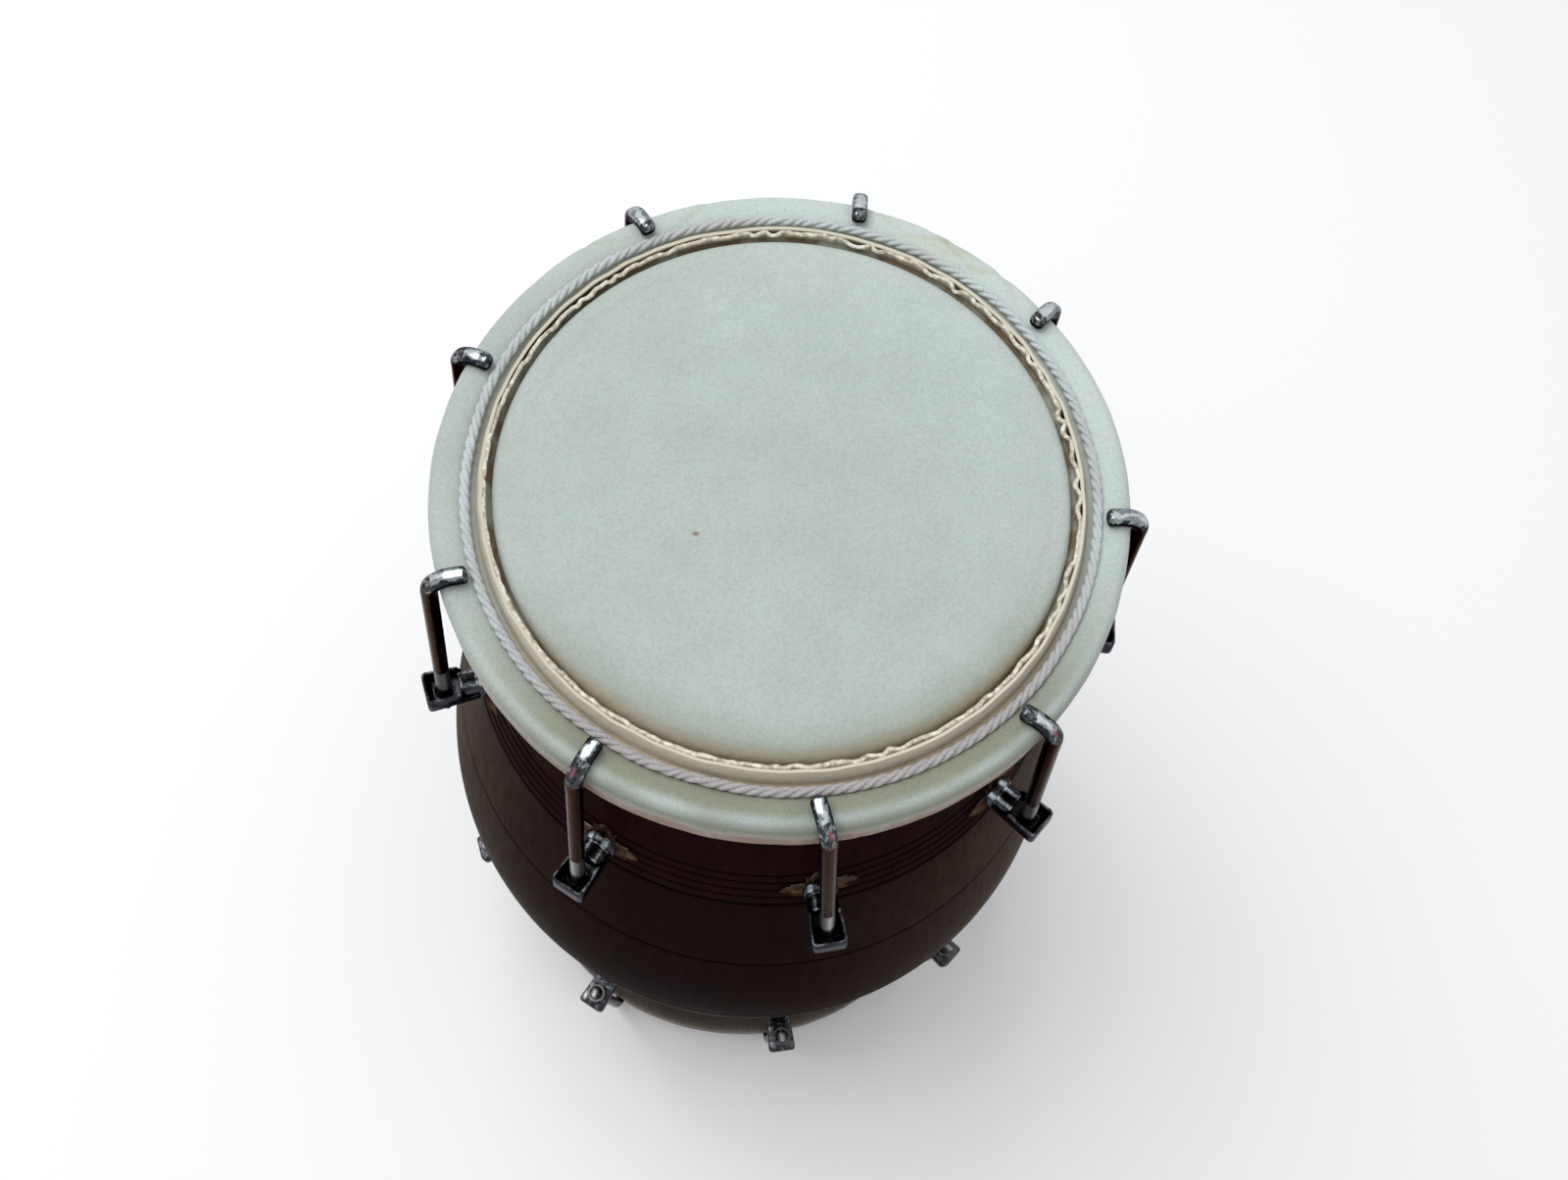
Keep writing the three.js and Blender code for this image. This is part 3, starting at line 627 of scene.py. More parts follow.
def rawhide_finish(name, pale, deep, tan, soil, spot=None):
    """Dry goat rawhide: finely pored, clouded, yellow where it turns down and browner towards the
    ring's lower edge, with painted shade on the near side and in its creases, and painted light on
    the far side and on the bass ring's folds. A spot is the place, in metres, of a small brown
    stain."""
    material, tree, shader = finish(
        name, pale, 0.66, Sheen_Weight=0.06, Specular_IOR_Level=0.3
    )
    mottle = noise(tree, 34.0, 6.0, 0.62)
    soft = noise(tree, 8.0, 3.0, 0.5)
    pores = noise(tree, 1100.0, 2.0, 0.5)
    grain = noise(tree, 820.0, 4.0, 0.65)
    fibre = noise(tree, 420.0, 4.0, 0.6, (1, 1, 0.3))
    creases = noise(tree, 300.0, 4.0, 0.6)
    clean = (1.0, 1.0, 1.0)
    hide = layered(
        tree,
        ramp(tree, mottle, (0.25, deep), (0.65, pale)),
        (
            ramp(tree, soft, (0.45, 0.0), (0.8, 0.5)),
            tuple(0.6 * a + 0.4 * b for a, b in zip(pale, tan)),
        ),
        (1.0, ramp(tree, pores, (0.25, 0.93), (0.45, 1.0)), "MULTIPLY"),
        # Painted light on the far right side.
        (mark_value(tree, "clean"), times(pale, 1.19)),
        # Painted light on the bass ring's diagonal folds.
        (mark_value(tree, "drape"), times(pale, 1.9)),
        (1.0, ramp(tree, grain, (0.32, 0.87), (0.6, 1.01)), "MULTIPLY"),
        # Painted shade in the creases.
        (1.0, blended(tree, mark_value(tree, "crease"), clean, (0.88, 0.82, 0.68)), "MULTIPLY"),
        # Painted shade on the near side of the ring.
        (1.0, blended(tree, mark_value(tree, "near"), clean, (0.57, 0.53, 0.42)), "MULTIPLY"),
        # The hide's tan where it turns down, deepened on the near side as painted shade.
        (mark_value(tree, "tan"), ramp(tree, fibre, (0.3, times(tan, 0.8)), (0.7, tan))),
    )
    if spot:
        wide, long = 550, 700
        where = add_node(tree, "TexCoord")
        place = add_node(
            tree, "Mapping", Scale=(wide, long, 0), Location=(-wide * spot[0], -long * spot[1], 0)
        )
        tree.links.new(where.outputs["Object"], place.inputs["Vector"])
        ball = add_node(tree, "TexGradient", gradient_type="SPHERICAL")
        tree.links.new(place.outputs["Vector"], ball.inputs["Vector"])
        stained = ramp(tree, ball.outputs["Fac"], (0.1, 0.0), (0.7, 0.8))
        hide = blended(tree, stained, hide, (0.16, 0.10, 0.06))
    patchy = math_of(tree, "MULTIPLY_ADD", noise(tree, 420.0, 5.0, 0.7), 1.6, -0.8)
    darkened = math_of(tree, "ADD", mark_value(tree, "soil"), patchy)
    half_darkened = tuple(0.5 * (a + b) for a, b in zip(pale, soil))
    hide = layered(
        tree,
        hide,
        (mark_value(tree, "tail"), times(tan, 1.5)),
        (mark_value(tree, "brim"), (0.58, 0.54, 0.43)),
        (ramp(tree, darkened, (0.20, 0.0), (0.45, 0.75)), half_darkened),
        (ramp(tree, darkened, (0.55, 0.0), (0.95, 0.9)), soil),
    )
    dress(tree, shader, hide, (pores, 0.08), (creases, 0.40), (mottle, 0.8))
    return material


pale_hide = rawhide_finish(
    "pale_rawhide",
    (0.437, 0.497, 0.469),
    (0.385, 0.440, 0.415),
    (0.34, 0.27, 0.185),
    (0.24, 0.145, 0.100),
    spot=(-0.03357, -0.02085),
)
# The bass hide is a tan, darkened well below the treble hide as painted shade of the drum above
# it.
shaded_tan_hide = rawhide_finish(
    "shaded_tan_rawhide",
    (0.084, 0.064, 0.047),
    (0.050, 0.038, 0.028),
    (0.15, 0.11, 0.07),
    (0.045, 0.034, 0.025),
)
for end, seed, hide in (("treble", 11, pale_hide), ("bass", 31, shaded_tan_hide)):
    sheet, marks = head_sheet(end, seed)
    head = add_piece(end + "_head", sheet, "drum", "rawhide", hide, marks, 60)
    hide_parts(end + "_skin")


# Frill
# The cut edge of the sheet is doubled over inside its own stood-up tail and gathered unevenly.
# It loops out over the gap behind the face at the far and right sides, and lies folded flat
# at the far left.
def gathered_frill(end, seed):
    """A ribbon from the face's wall up the inside of the tail. A gather swings its brim inward
    by its depth times (1 - cosine) / 2 of its phase, and along the edge by the phase's sine."""
    rng = np.random.default_rng(seed)
    columns, rows = 2400, 13
    ring = RING_RADIUS[end]
    angle = np.arange(columns) * 2 * np.pi / columns
    lengths = rng.uniform(3.5, 15.0, 72)
    knots = np.concatenate([[0], np.cumsum(lengths)]) / lengths.sum() * 2 * np.pi
    gather = np.clip(np.searchsorted(knots, angle, side="right") - 1, 0, len(lengths) - 1)
    phase = (angle - knots[gather]) / np.diff(knots)[gather] * 2 * np.pi
    depth = rng.uniform(0.10, 1.0, len(lengths))[gather]
    curl = rng.uniform(-1.8, 1.8, len(lengths))[gather]
    busy = 0.52 + 0.48 * np.cos(angle - np.radians(35))
    busy = np.clip(busy + 0.25 * near_side(angle), 0.2, 1)
    lap = np.exp(-(((angle - np.radians(132)) / np.radians(28)) ** 2))
    share = np.linspace(0, 1, rows)
    section = np.array([[-23.1, -5.4], [-21.7, -3.9], [-20.5, -2.2], [-20.6, 0.4], [-20.9, 2.7]])
    at = np.linspace(0, 1, len(section))
    inset = np.interp(share, at, section[:, 0])[:, None]
    rise = np.interp(share, at, section[:, 1])[:, None]
    swing = np.clip((share - 0.45) / 0.55, 0, 1)[:, None] ** 1.25
    bow = 2.5 * busy * depth * (1 - np.cos(phase)) / 2
    radius = ring + inset - swing * (bow + 1.5 * lap + 0.8 * near_side(angle))
    radius = radius + 0.4 * swing * ripple(angle, seed + 3, (50, 150), 24)
    slide = swing * busy * depth * curl * np.sin(phase) / ring
    height = rise + swing * (0.45 * ripple(angle, seed + 4, (20, 90), 24) - 0.35 * bow - 0.5 * lap)
    turn = angle + slide
    points = onto_end(around_axis(radius, turn, height), end)
    return points.reshape(-1, 3), grid_quads(rows, columns), np.repeat(share, columns)


frill_hide, tree, shader = finish("cut_edge", (0.62, 0.56, 0.43), 0.6)
streaks = noise(tree, 520.0, 4.0, 0.65, (1, 1, 0.15))
# Pale and tan stripes up the gathered brim: painted light on the gathers and painted shade between
# them.
lit = ramp(
    tree,
    streaks,
    (0.36, (0.34, 0.29, 0.20)),
    (0.50, (0.58, 0.54, 0.43)),
    (0.64, (0.80, 0.79, 0.71)),
)
rise = ramp(tree, mark_value(tree, "rise"), (0.55, 0.0), (0.93, 1.0))
# The ribbon is painted browner towards its foot, in patches, as painted shade deep in the gap.
foot_tone = noise(tree, 60.0, 4.0, 0.6)
foot = ramp(tree, foot_tone, (0.44, (0.22, 0.155, 0.09)), (0.58, (0.40, 0.40, 0.33)))
dress(tree, shader, blended(tree, rise, foot, lit), (streaks, 0.2))
for end, seed in (("treble", 51), ("bass", 61)):
    frill_points, frill_quads, rise_mark = gathered_frill(end, seed)
    frill = add_piece(
        end + "_frill",
        (frill_points, frill_quads),
        "drum",
        "rawhide",
        frill_hide,
        {"rise": rise_mark},
        smooth_angle=180,
        closed=False,
    )
    wall = frill.modifiers.new("wall", "SOLIDIFY")
    wall.thickness = 0.0015
    wall.offset = 0.0


# Cords
# Three strands of white cotton twisted into a rope of about 4 mm, laid in the seat round the
# head inside the hooks. The bass cord is under the drum and is made the same way.
def cord_line(end):
    """Radius and height of the cord's middle, where it lies on the slope of its seat."""
    ring = RING_RADIUS[end]
    start = np.array([ring - 9.5, -0.6])
    foot = np.array([ring - 18.1, -5.5])
    down = (foot - start) / np.hypot(*(foot - start))
    away = np.array([down[1], -down[0]])
    share_down, rise = 0.37, 1.75
    return start + (foot - start) * share_down + away * (SKIN_THICKNESS / 2 + rise)


def twisted_cord(end, crossings, seed):
    """Three helical strands on a ring. Each strand's skin has the ridges of its own yarns."""
    middle = cord_line(end)
    steps = 1800
    place = np.arange(steps) * 2 * np.pi / steps
    columns = 12
    around = np.arange(columns) * 2 * np.pi / columns
    strand_radius, offset = 1.03, 0.90
    wander = 0.28 * ripple(place, seed, (4, 22), 10)
    plump = 1 + 0.10 * ripple(place, seed + 3, (40, 160), 24)[:, None]
    loose = 0.7 * ripple(place, seed + 4, (8, 60), 16)
    strands = []
    for number in range(3):
        lay = place * crossings / 3 + number * 2 * np.pi / 3 + loose
        yarn = plump + 0.05 * np.sin(5 * (around[None, :] - lay[:, None] * 2.2))
        across = offset * np.cos(lay)[:, None] + strand_radius * yarn * np.cos(around)
        upward = offset * np.sin(lay)[:, None] + strand_radius * yarn * np.sin(around)
        radius = middle[0] + wander[:, None] + across
        height = middle[1] + upward
        strands.append(tube(around_axis(radius, place[:, None], height), closed_rows=True))
    points, quads = join(*strands)
    near = near_side(np.arctan2(points[:, 1], points[:, 0]))
    points[:, 2] = FACE[end] + OUTWARD[end] * points[:, 2]
    return (points, quads), {"near": near}


cotton, tree, shader = finish("cotton", (0.60, 0.62, 0.66), 0.9, Sheen_Weight=0.2)
fluff = noise(tree, 1300.0, 5.0, 0.75)
patches = noise(tree, 22.0, 3.0, 0.55)
clean = ramp(tree, fluff, (0.3, (0.42, 0.48, 0.49)), (0.65, (0.70, 0.77, 0.78)))
dusty = ramp(tree, fluff, (0.3, (0.40, 0.42, 0.42)), (0.65, (0.62, 0.64, 0.64)))
# The near side of the cord is painted darker and pinker, as painted shade.
darkened = ramp(tree, fluff, (0.3, (0.30, 0.275, 0.275)), (0.65, (0.56, 0.53, 0.535)))
cloth = blended(tree, ramp(tree, patches, (0.42, 0.0), (0.62, 1.0)), clean, dusty)
dress(tree, shader, blended(tree, mark_value(tree, "near"), cloth, darkened), (fluff, 0.6))
for end, crossings, seed in (("treble", 150, 5), ("bass", 168, 6)):
    strands, marks = twisted_cord(end, crossings, seed)
    rope = add_piece(end + "_rope", strands, "drum", "cotton", cotton, marks)
    if end == "treble":
        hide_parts("treble_cord")


# Hook bolts
# A 6 mm steel rod, threaded at its lower end, bent over the ring. Its arm is hammered a little
# flat on the ring, and all but the thread is chrome plated. The treble bolts of this old drum
# stand a little off their even places, some tilted sideways and some turned on their rods.
BOLT_COUNT = 9
FIRST_BOLT = np.radians(-85)
OFF_PLACE = {  # in degrees: the lug along the shell, the rod sideways, the hook about its rod
    "treble": [
        (1.8, -3.6, 7.0),
        (1.1, -4.5, 9.5),
        (-2.7, 0.0, 9.0),
        (-0.2, -0.5, 10.5),
        (-1.0, 0.0, 8.0),
        (-0.7, 0.0, 4.5),
        (0.0, 0.0, -2.0),
        (0.0, 1.5, -7.5),
        (0.0, 0.0, 0.0),
    ],
    "bass": [(0.0, 0.0, 0.0)] * BOLT_COUNT,
}
LUG_DROP = 116.0
ROD_REACH = 18.6
ROD_CLEARANCE = 0.6
ROD_PASS_DROP = 7.2
BOX_HEIGHT = 12.0
NUT_HEIGHT = 5.5
ROD_BELOW_NUT = 6.0
HOOK_BEND = 10.5
HOOK_REACH = 11.3
THREAD_LENGTH = 45.0
THREAD_DEPTH = 0.30
MARKED_LENGTH = 160.0  # the length of a bolt over which its marks count from 0 to 1


def rod_line(end):
    """Where a rod passes the ring, where it passes the lug, and how far it leans outward."""
    face, outward = FACE[end], OUTWARD[end]
    lug_radius = float(shell_radius(face - outward * LUG_DROP))
    top = np.array([RING_RADIUS[end] + ROD_CLEARANCE + ROD_RADIUS, -ROD_PASS_DROP])
    low = np.array([lug_radius + ROD_REACH, -LUG_DROP])
    return top, low, np.arctan2(low[0] - top[0], top[1] - low[1])


def at_station(points, end, number):
    """Moves points (outward, sideways, away from the drum) of a bolt's place into the drum,
    tilted sideways about the lug as that bolt is."""
    lug_turn, rod_tilt, _ = np.radians(OFF_PLACE[end][number])
    _, low, _ = rod_line(end)
    out, side, up = points[..., 0], points[..., 1], points[..., 2] - low[1]
    away = low[1] + up * np.cos(rod_tilt) - side * np.sin(rod_tilt)
    side = (side * np.cos(rod_tilt) + up * np.sin(rod_tilt)) * OUTWARD[end]
    angle = FIRST_BOLT + number * 2 * np.pi / BOLT_COUNT + lug_turn
    x = out * np.cos(angle) - side * np.sin(angle)
    y = out * np.sin(angle) + side * np.cos(angle)
    return np.stack([x, y, FACE[end] + OUTWARD[end] * away], -1)


def turned_on_rod(points, end, number):
    """A hook's points in its bolt's place, turned about the rod by the angle-axis formula."""
    _, low, lean = rod_line(end)
    turn = np.radians(OFF_PLACE[end][number][2])
    foot = np.array([low[0], 0, low[1]])
    axis = np.array([-np.sin(lean), 0, np.cos(lean)])
    place = points - foot
    up_rod = (place @ axis)[..., None] * axis * (1 - np.cos(turn))
    return foot + place * np.cos(turn) + np.cross(axis, place) * np.sin(turn) + up_rod


def from_lug(points, end):
    """Moves points of a lug (outward, sideways, up the rod) into its bolt's place."""
    _, low, lean = rod_line(end)
    out = low[0] + points[..., 0] * np.cos(lean) - points[..., 2] * np.sin(lean)
    away = low[1] + points[..., 0] * np.sin(lean) + points[..., 2] * np.cos(lean)
    return np.stack([out, points[..., 1], away], -1)


def hook_corner(end, lift):
    """The height of a hook's arm, and the middle of its bend."""
    top, _, lean = rod_line(end)
    arm_height = SEAT_GAP + ROD_FLAT + lift
    elbow = top[0] - (arm_height - top[1]) * np.tan(lean)
    tangent = HOOK_BEND * np.tan((np.pi / 2 - lean) / 2)
    return arm_height, np.array([elbow - tangent, arm_height - HOOK_BEND])


def arm_lift(end, number):
    """What a tilted and turned hook is made longer by, so that its arm still lies on the ring:
    the seat's gap less the lowest corner of the rod's octagon at both ends of the arm."""
    arm_height, centre = hook_corner(end, 0)
    corner = (np.arange(8) + 0.5) * np.pi / 4
    out = np.repeat([RING_RADIUS[end] - HOOK_REACH, centre[0]], 8)
    side = np.tile(ROD_RADIUS * np.cos(corner), 2)
    away = arm_height + np.tile(ROD_RADIUS * np.sin(corner), 2)
    placed = at_station(turned_on_rod(np.stack([out, side, away], -1), end, number), end, number)
    return SEAT_GAP - float(((placed[:, 2] - FACE[end]) * OUTWARD[end]).min())


def hook_bolt(end, lift):
    """A rod swept along its bent line, its section a squarish oval on the arm and round below.
    The thread is a ridge of one turn per millimetre, worked round the last stretch."""
    _, low, lean = rod_line(end)
    turn = np.pi / 2 - lean
    arm_height, centre = hook_corner(end, lift)
    tip = RING_RADIUS[end] - HOOK_REACH
    below = BOX_HEIGHT / 2 + SEAT_GAP + NUT_HEIGHT + ROD_BELOW_NUT
    rod_end = low + below * np.array([np.sin(lean), -np.cos(lean)])
    arm = np.array([0, 0.15, 0.5, 1.0, 1.6, 2.4, 3.4, centre[0] - tip])
    lines = [np.stack([tip + arm, np.full(len(arm), arm_height)], -1)]
    tangents = [np.tile([1.0, 0.0], (len(arm), 1))]
    sweep = np.linspace(0, turn, 18)[1:]
    lines.append(centre + HOOK_BEND * np.stack([np.sin(sweep), np.cos(sweep)], -1))
    tangents.append(np.stack([np.cos(sweep), -np.sin(sweep)], -1))
    down = np.array([np.sin(lean), -np.cos(lean)])
    rod_start = lines[-1][-1]
    length = float(np.hypot(*(rod_end - rod_start)))
    plain = np.linspace(4.0, length - THREAD_LENGTH - 0.6, 8)
    threaded = np.linspace(length - THREAD_LENGTH, length, int(THREAD_LENGTH * 8) + 1)
    run = np.concatenate([plain, threaded])
    lines.append(rod_start + run[:, None] * down)
    tangents.append(np.tile(down, (len(run), 1)))
    line, tangent = np.vstack(lines), np.vstack(tangents)

    along = np.concatenate([[0], np.cumsum(np.hypot(*np.diff(line, axis=0).T))])
    columns = 20
    around = np.arange(columns) * 2 * np.pi / columns
    flat_length, fading_length = 9.0, 14.0
    flat = np.clip(1 - (along - flat_length) / fading_length, 0, 1)
    flat = flat * flat * (3 - 2 * flat)
    power = 2 + 1.6 * flat
    wide = ROD_RADIUS - 0.15 * flat
    deep = ROD_RADIUS - 0.33 * flat
    nose_length = 1.6
    nose = np.sqrt(np.clip(1 - (1 - np.clip(along / nose_length, 0, 1)) ** 2, 0, 1)) * 0.55 + 0.45
    cosine, sine = np.cos(around), np.sin(around)
    squareness = (np.abs(cosine) ** power[:, None] + np.abs(sine) ** power[:, None]) ** (
        -1 / power[:, None]
    )
    side = (wide * nose)[:, None] * squareness * cosine
    upward = (deep * nose)[:, None] * squareness * sine
    cut = np.zeros((len(along), columns))
    threads = np.arange(len(along)) >= len(along) - len(threaded)
    turns = (along[threads, None] - around[None, :] / (2 * np.pi)) % 1.0
    deeper = np.clip(np.arange(len(threaded)) / 16, 0, 1)[:, None]
    cut[threads] = -THREAD_DEPTH * deeper * (1 - np.abs(2 * turns - 1))
    last = along[-1] - along
    cut = cut - np.where(last < 0.8, 0.8 - last, 0)[:, None] * 0.8
    side = side * (1 + cut / ROD_RADIUS)
    upward = upward * (1 + cut / ROD_RADIUS)
    normal = np.stack([-tangent[:, 1], tangent[:, 0]], -1)
    out = line[:, 0:1] + upward * normal[:, 0:1]
    away = line[:, 1:2] + upward * normal[:, 1:2]
    points, quads = tube(np.stack([out, side, away], -1))
    thread_mark = np.clip((threads.cumsum() - 2) / 3, 0, 1)
    marks = {
        "thread": np.append(np.repeat(thread_mark, columns), [0, 1]),
        "along": np.append(np.repeat(along, columns), [0, along[-1]]) / MARKED_LENGTH,
        "side": np.append(np.tile(cosine, len(along)), [0, 0]),
        "top": np.append(np.tile(sine, len(along)), [0, 0]),
    }
    return points, quads, marks


def streaks_of(tree, along, side, scale, lengthwise):
    """Noise drawn out along a rod, on the marks of its length and its round."""
    spread = add_node(tree, "CombineXYZ")
    tree.links.new(math_of(tree, "MULTIPLY", along, lengthwise), spread.inputs["X"])
    tree.links.new(side, spread.inputs["Y"])
    tree.links.new(mark_value(tree, "bolt"), spread.inputs["Z"])
    cloud = add_node(tree, "TexNoise", Scale=scale, Detail=3.0, Roughness=0.55)
    tree.links.new(spread.outputs["Vector"], cloud.inputs["Vector"])
    return cloud.outputs["Fac"]


def add_at_station(kind, end, number, solid, body, *looks):
    """A piece of one bolt's place, given as its solid there, its body and its looks."""
    points, quads = solid
    placed = at_station(points, end, number)
    return add_piece(f"{end}_{kind}_{number + 1}", (placed, quads), body, *looks)


# The plating carries painted reflections: a bright one along the crown of each arm, dark ones on
# its flanks, and a brown one on the way down. Places along a bolt are in marked lengths from the
# tip of its arm.
CROWN_GLEAM = {  # where the painted bright reflection on each arm starts and stops
    "treble": [
        (0.002, 0.060),
        (0.028, 0.084),
        (0.004, 0.100),
        (0.018, 0.150),
        (0.020, 0.160),
        (0.014, 0.150),
        (0.022, 0.066),
        (0.003, 0.080),
        (0.001, 0.054),
    ],
    "bass": [(0.010, 0.070)] * BOLT_COUNT,
}
# How much of its painted dark flanks each arm shows. A minus sign swaps the two.
FLANK_SHARE = (1, -1, 0.6, 0.6, 0.6, 0.6, 0.9, 0.8, -1)
FAR_BOLTS = (3, 4, 5)  # whose painted brown reflection starts farther down, by the tint delay
TINT_DELAY = 0.045
PINK_GLINT_BOLTS = (0, 1, 8)  # whose arms have the strongest painted pink glint
GLINT_PLACE, GLINT_LENGTH = 0.078, 0.008
chrome, tree, shader = finish(
    "chrome", (0.17, 0.13, 0.11), 0.2, Metallic=1.0, Specular_Tint=(0.42, 0.40, 0.40, 1)
)
thread_part, along_part = mark_value(tree, "thread"), mark_value(tree, "along")
side_part, top_part = mark_value(tree, "side"), mark_value(tree, "top")
wear = noise(tree, 420.0, 4.0, 0.6)
drawn = streaks_of(tree, along_part, side_part, 1.7, 30.0)
ragged = math_of(tree, "MULTIPLY_ADD", drawn, 1.5, -0.75)
off_middle = math_of(tree, "ABSOLUTE", math_of(tree, "ADD", side_part, ragged))
uneven = math_of(tree, "MULTIPLY_ADD", drawn, 1.2, -0.6)
polish = math_of(tree, "ADD", mark_value(tree, "polish"), uneven)
polish = ramp(tree, polish, (0.42, 0.0), (0.58, 1.0))
# Painted reflections: bright bands along the crown of each arm.
crown = ramp(
    tree,
    off_middle,
    (0.02, (0.93, 0.98, 0.99)),
    (0.22, (0.80, 0.87, 0.89)),
    (0.34, (0.24, 0.28, 0.30)),
    (0.46, (0.50, 0.56, 0.58)),
    (0.60, (0.035, 0.038, 0.045)),
)
on_top = ramp(tree, top_part, (0.05, 0.0), (0.25, 1.0))
# Painted dark reflections on the flanks and underside, with a few light streaks.
dull = ramp(
    tree,
    drawn,
    (0.30, (0.022, 0.024, 0.029)),
    (0.44, (0.10, 0.115, 0.12)),
    (0.50, (0.030, 0.033, 0.040)),
    (0.58, (0.44, 0.48, 0.49)),
    (0.64, (0.040, 0.044, 0.052)),
)
dull = blended(tree, on_top, (0.020, 0.021, 0.026), dull)
arm = blended(tree, math_of(tree, "MULTIPLY", on_top, polish), dull, crown)
# A painted pink glint near the bend of each arm.
off_line = math_of(tree, "ABSOLUTE", math_of(tree, "ADD", side_part, -0.18))
rust = ramp(tree, off_line, (0.10, 1.0), (0.30, 0.0))
rust = math_of(tree, "MULTIPLY", rust, mark_value(tree, "rust"))
arm = blended(tree, rust, arm, (0.50, 0.15, 0.20))
across = math_of(tree, "ADD", side_part, math_of(tree, "MULTIPLY", ragged, 0.2))
across = math_of(tree, "MULTIPLY_ADD", across, 0.5, 0.5)
# Painted brown reflections down the rod, dark at its edges and underneath, with a lighter stripe
# on one side.
rod = ramp(
    tree,
    across,
    (0.03, (0.022, 0.017, 0.014)),
    (0.16, (0.046, 0.032, 0.025)),
    (0.40, (0.074, 0.050, 0.039)),
    (0.60, (0.090, 0.063, 0.050)),
    (0.72, (0.165, 0.122, 0.100)),
    (0.84, (0.096, 0.068, 0.054)),
    (0.94, (0.024, 0.018, 0.015)),
)
rod = blended(tree, ramp(tree, top_part, (0.0, 0.0), (0.12, 1.0)), (0.016, 0.012, 0.010), rod)
stained = math_of(tree, "MULTIPLY_ADD", ragged, 0.02, mark_value(tree, "stained"))
# The thread is painted light in its middle and dark at its edges, as painted light and shade round
# it.
thread = ramp(tree, across, (0.05, 0.03), (0.35, 0.22), (0.55, 0.46), (0.75, 0.20), (0.95, 0.04))
plated = layered(
    tree,
    arm,
    (ramp(tree, stained, (0.094, 0.0), (0.116, 1.0)), rod),
    (1.0, ramp(tree, wear, (0.35, 0.80), (0.65, 1.0)), "MULTIPLY"),
    (thread_part, thread),
)
dress(tree, shader, plated, (noise(tree, 90.0, 2.0, 0.5), 0.2))
smear = ramp(tree, wear, (0.4, 0.14), (0.75, 0.24))
tree.links.new(blended(tree, thread_part, smear, (0.38, 0.38, 0.38)), shader.inputs["Roughness"])

ENDS = ("treble", "bass")
for end in ENDS:
    for number in range(BOLT_COUNT):
        bolt_points, bolt_quads, bolt_marks = hook_bolt(end, arm_lift(end, number))
        reached = bolt_marks["along"]
        start, stop = CROWN_GLEAM[end][number]
        glint_share = 1.0 if end == "treble" and number in PINK_GLINT_BOLTS else 0.3
        bolt_marks["bolt"] = np.full(len(bolt_points), number * 3.7 + (end == "bass"))
        bolt_marks["polish"] = np.clip((reached - start) / 0.01, 0, 1) * np.clip(
            (stop - reached) / 0.01, 0, 1
        )
        bolt_marks["rust"] = glint_share * np.exp(-(((reached - GLINT_PLACE) / GLINT_LENGTH) ** 2))
        bolt_marks["side"] = bolt_marks["side"] * FLANK_SHARE[number]
        bolt_marks["stained"] = reached - (TINT_DELAY if number in FAR_BOLTS else 0.0)
        solid = turned_on_rod(bolt_points, end, number), bolt_quads
        node = f"{end}_hook_{number + 1}"
        bolt = add_at_station("bolt", end, number, solid, node, "chrome", chrome, bolt_marks)
        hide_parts(node)


# Lugs
# A cast and chromed open box on a round boss. A four-leaved brass plate lies under the boss,
# and a stud goes through plate and shell to a flat nut inside.
BOX_OUTER = 8.3
BOX_INNER = 14.5
BOX_WIDTH = 15.0
BOX_INNER_WIDTH = 12.6
BOX_FLOOR = 3.6
BOSS_RADIUS = 5.6
BOX_COLUMNS = 64
RIM_ROW = 7  # the box's outlines from this one on are inside it


def box_outline(inset, corner):
    """The box's plan, seen down the rod: it narrows towards the shell and is rounded at its
    outer end. Its points are spread evenly, from the middle of that end round to it again."""
    start, stop = inset - BOX_INNER, BOX_OUTER - inset
    inner, half = BOX_INNER_WIDTH / 2 - inset, BOX_WIDTH / 2 - inset
    plan = [(stop, 0), (stop, half), (start, inner), (start, -inner), (stop, -half), (stop, 0)]
    path = rounded_path(np.array(plan), [corner, 0.9, 0.9, corner], 9)
    along = np.concatenate([[0], np.cumsum(np.hypot(*np.diff(path, axis=0).T))])
    at = np.linspace(0, along[-1], BOX_COLUMNS + 1)[:-1]
    return np.stack([np.interp(at, along, path[:, 0]), np.interp(at, along, path[:, 1])], -1)


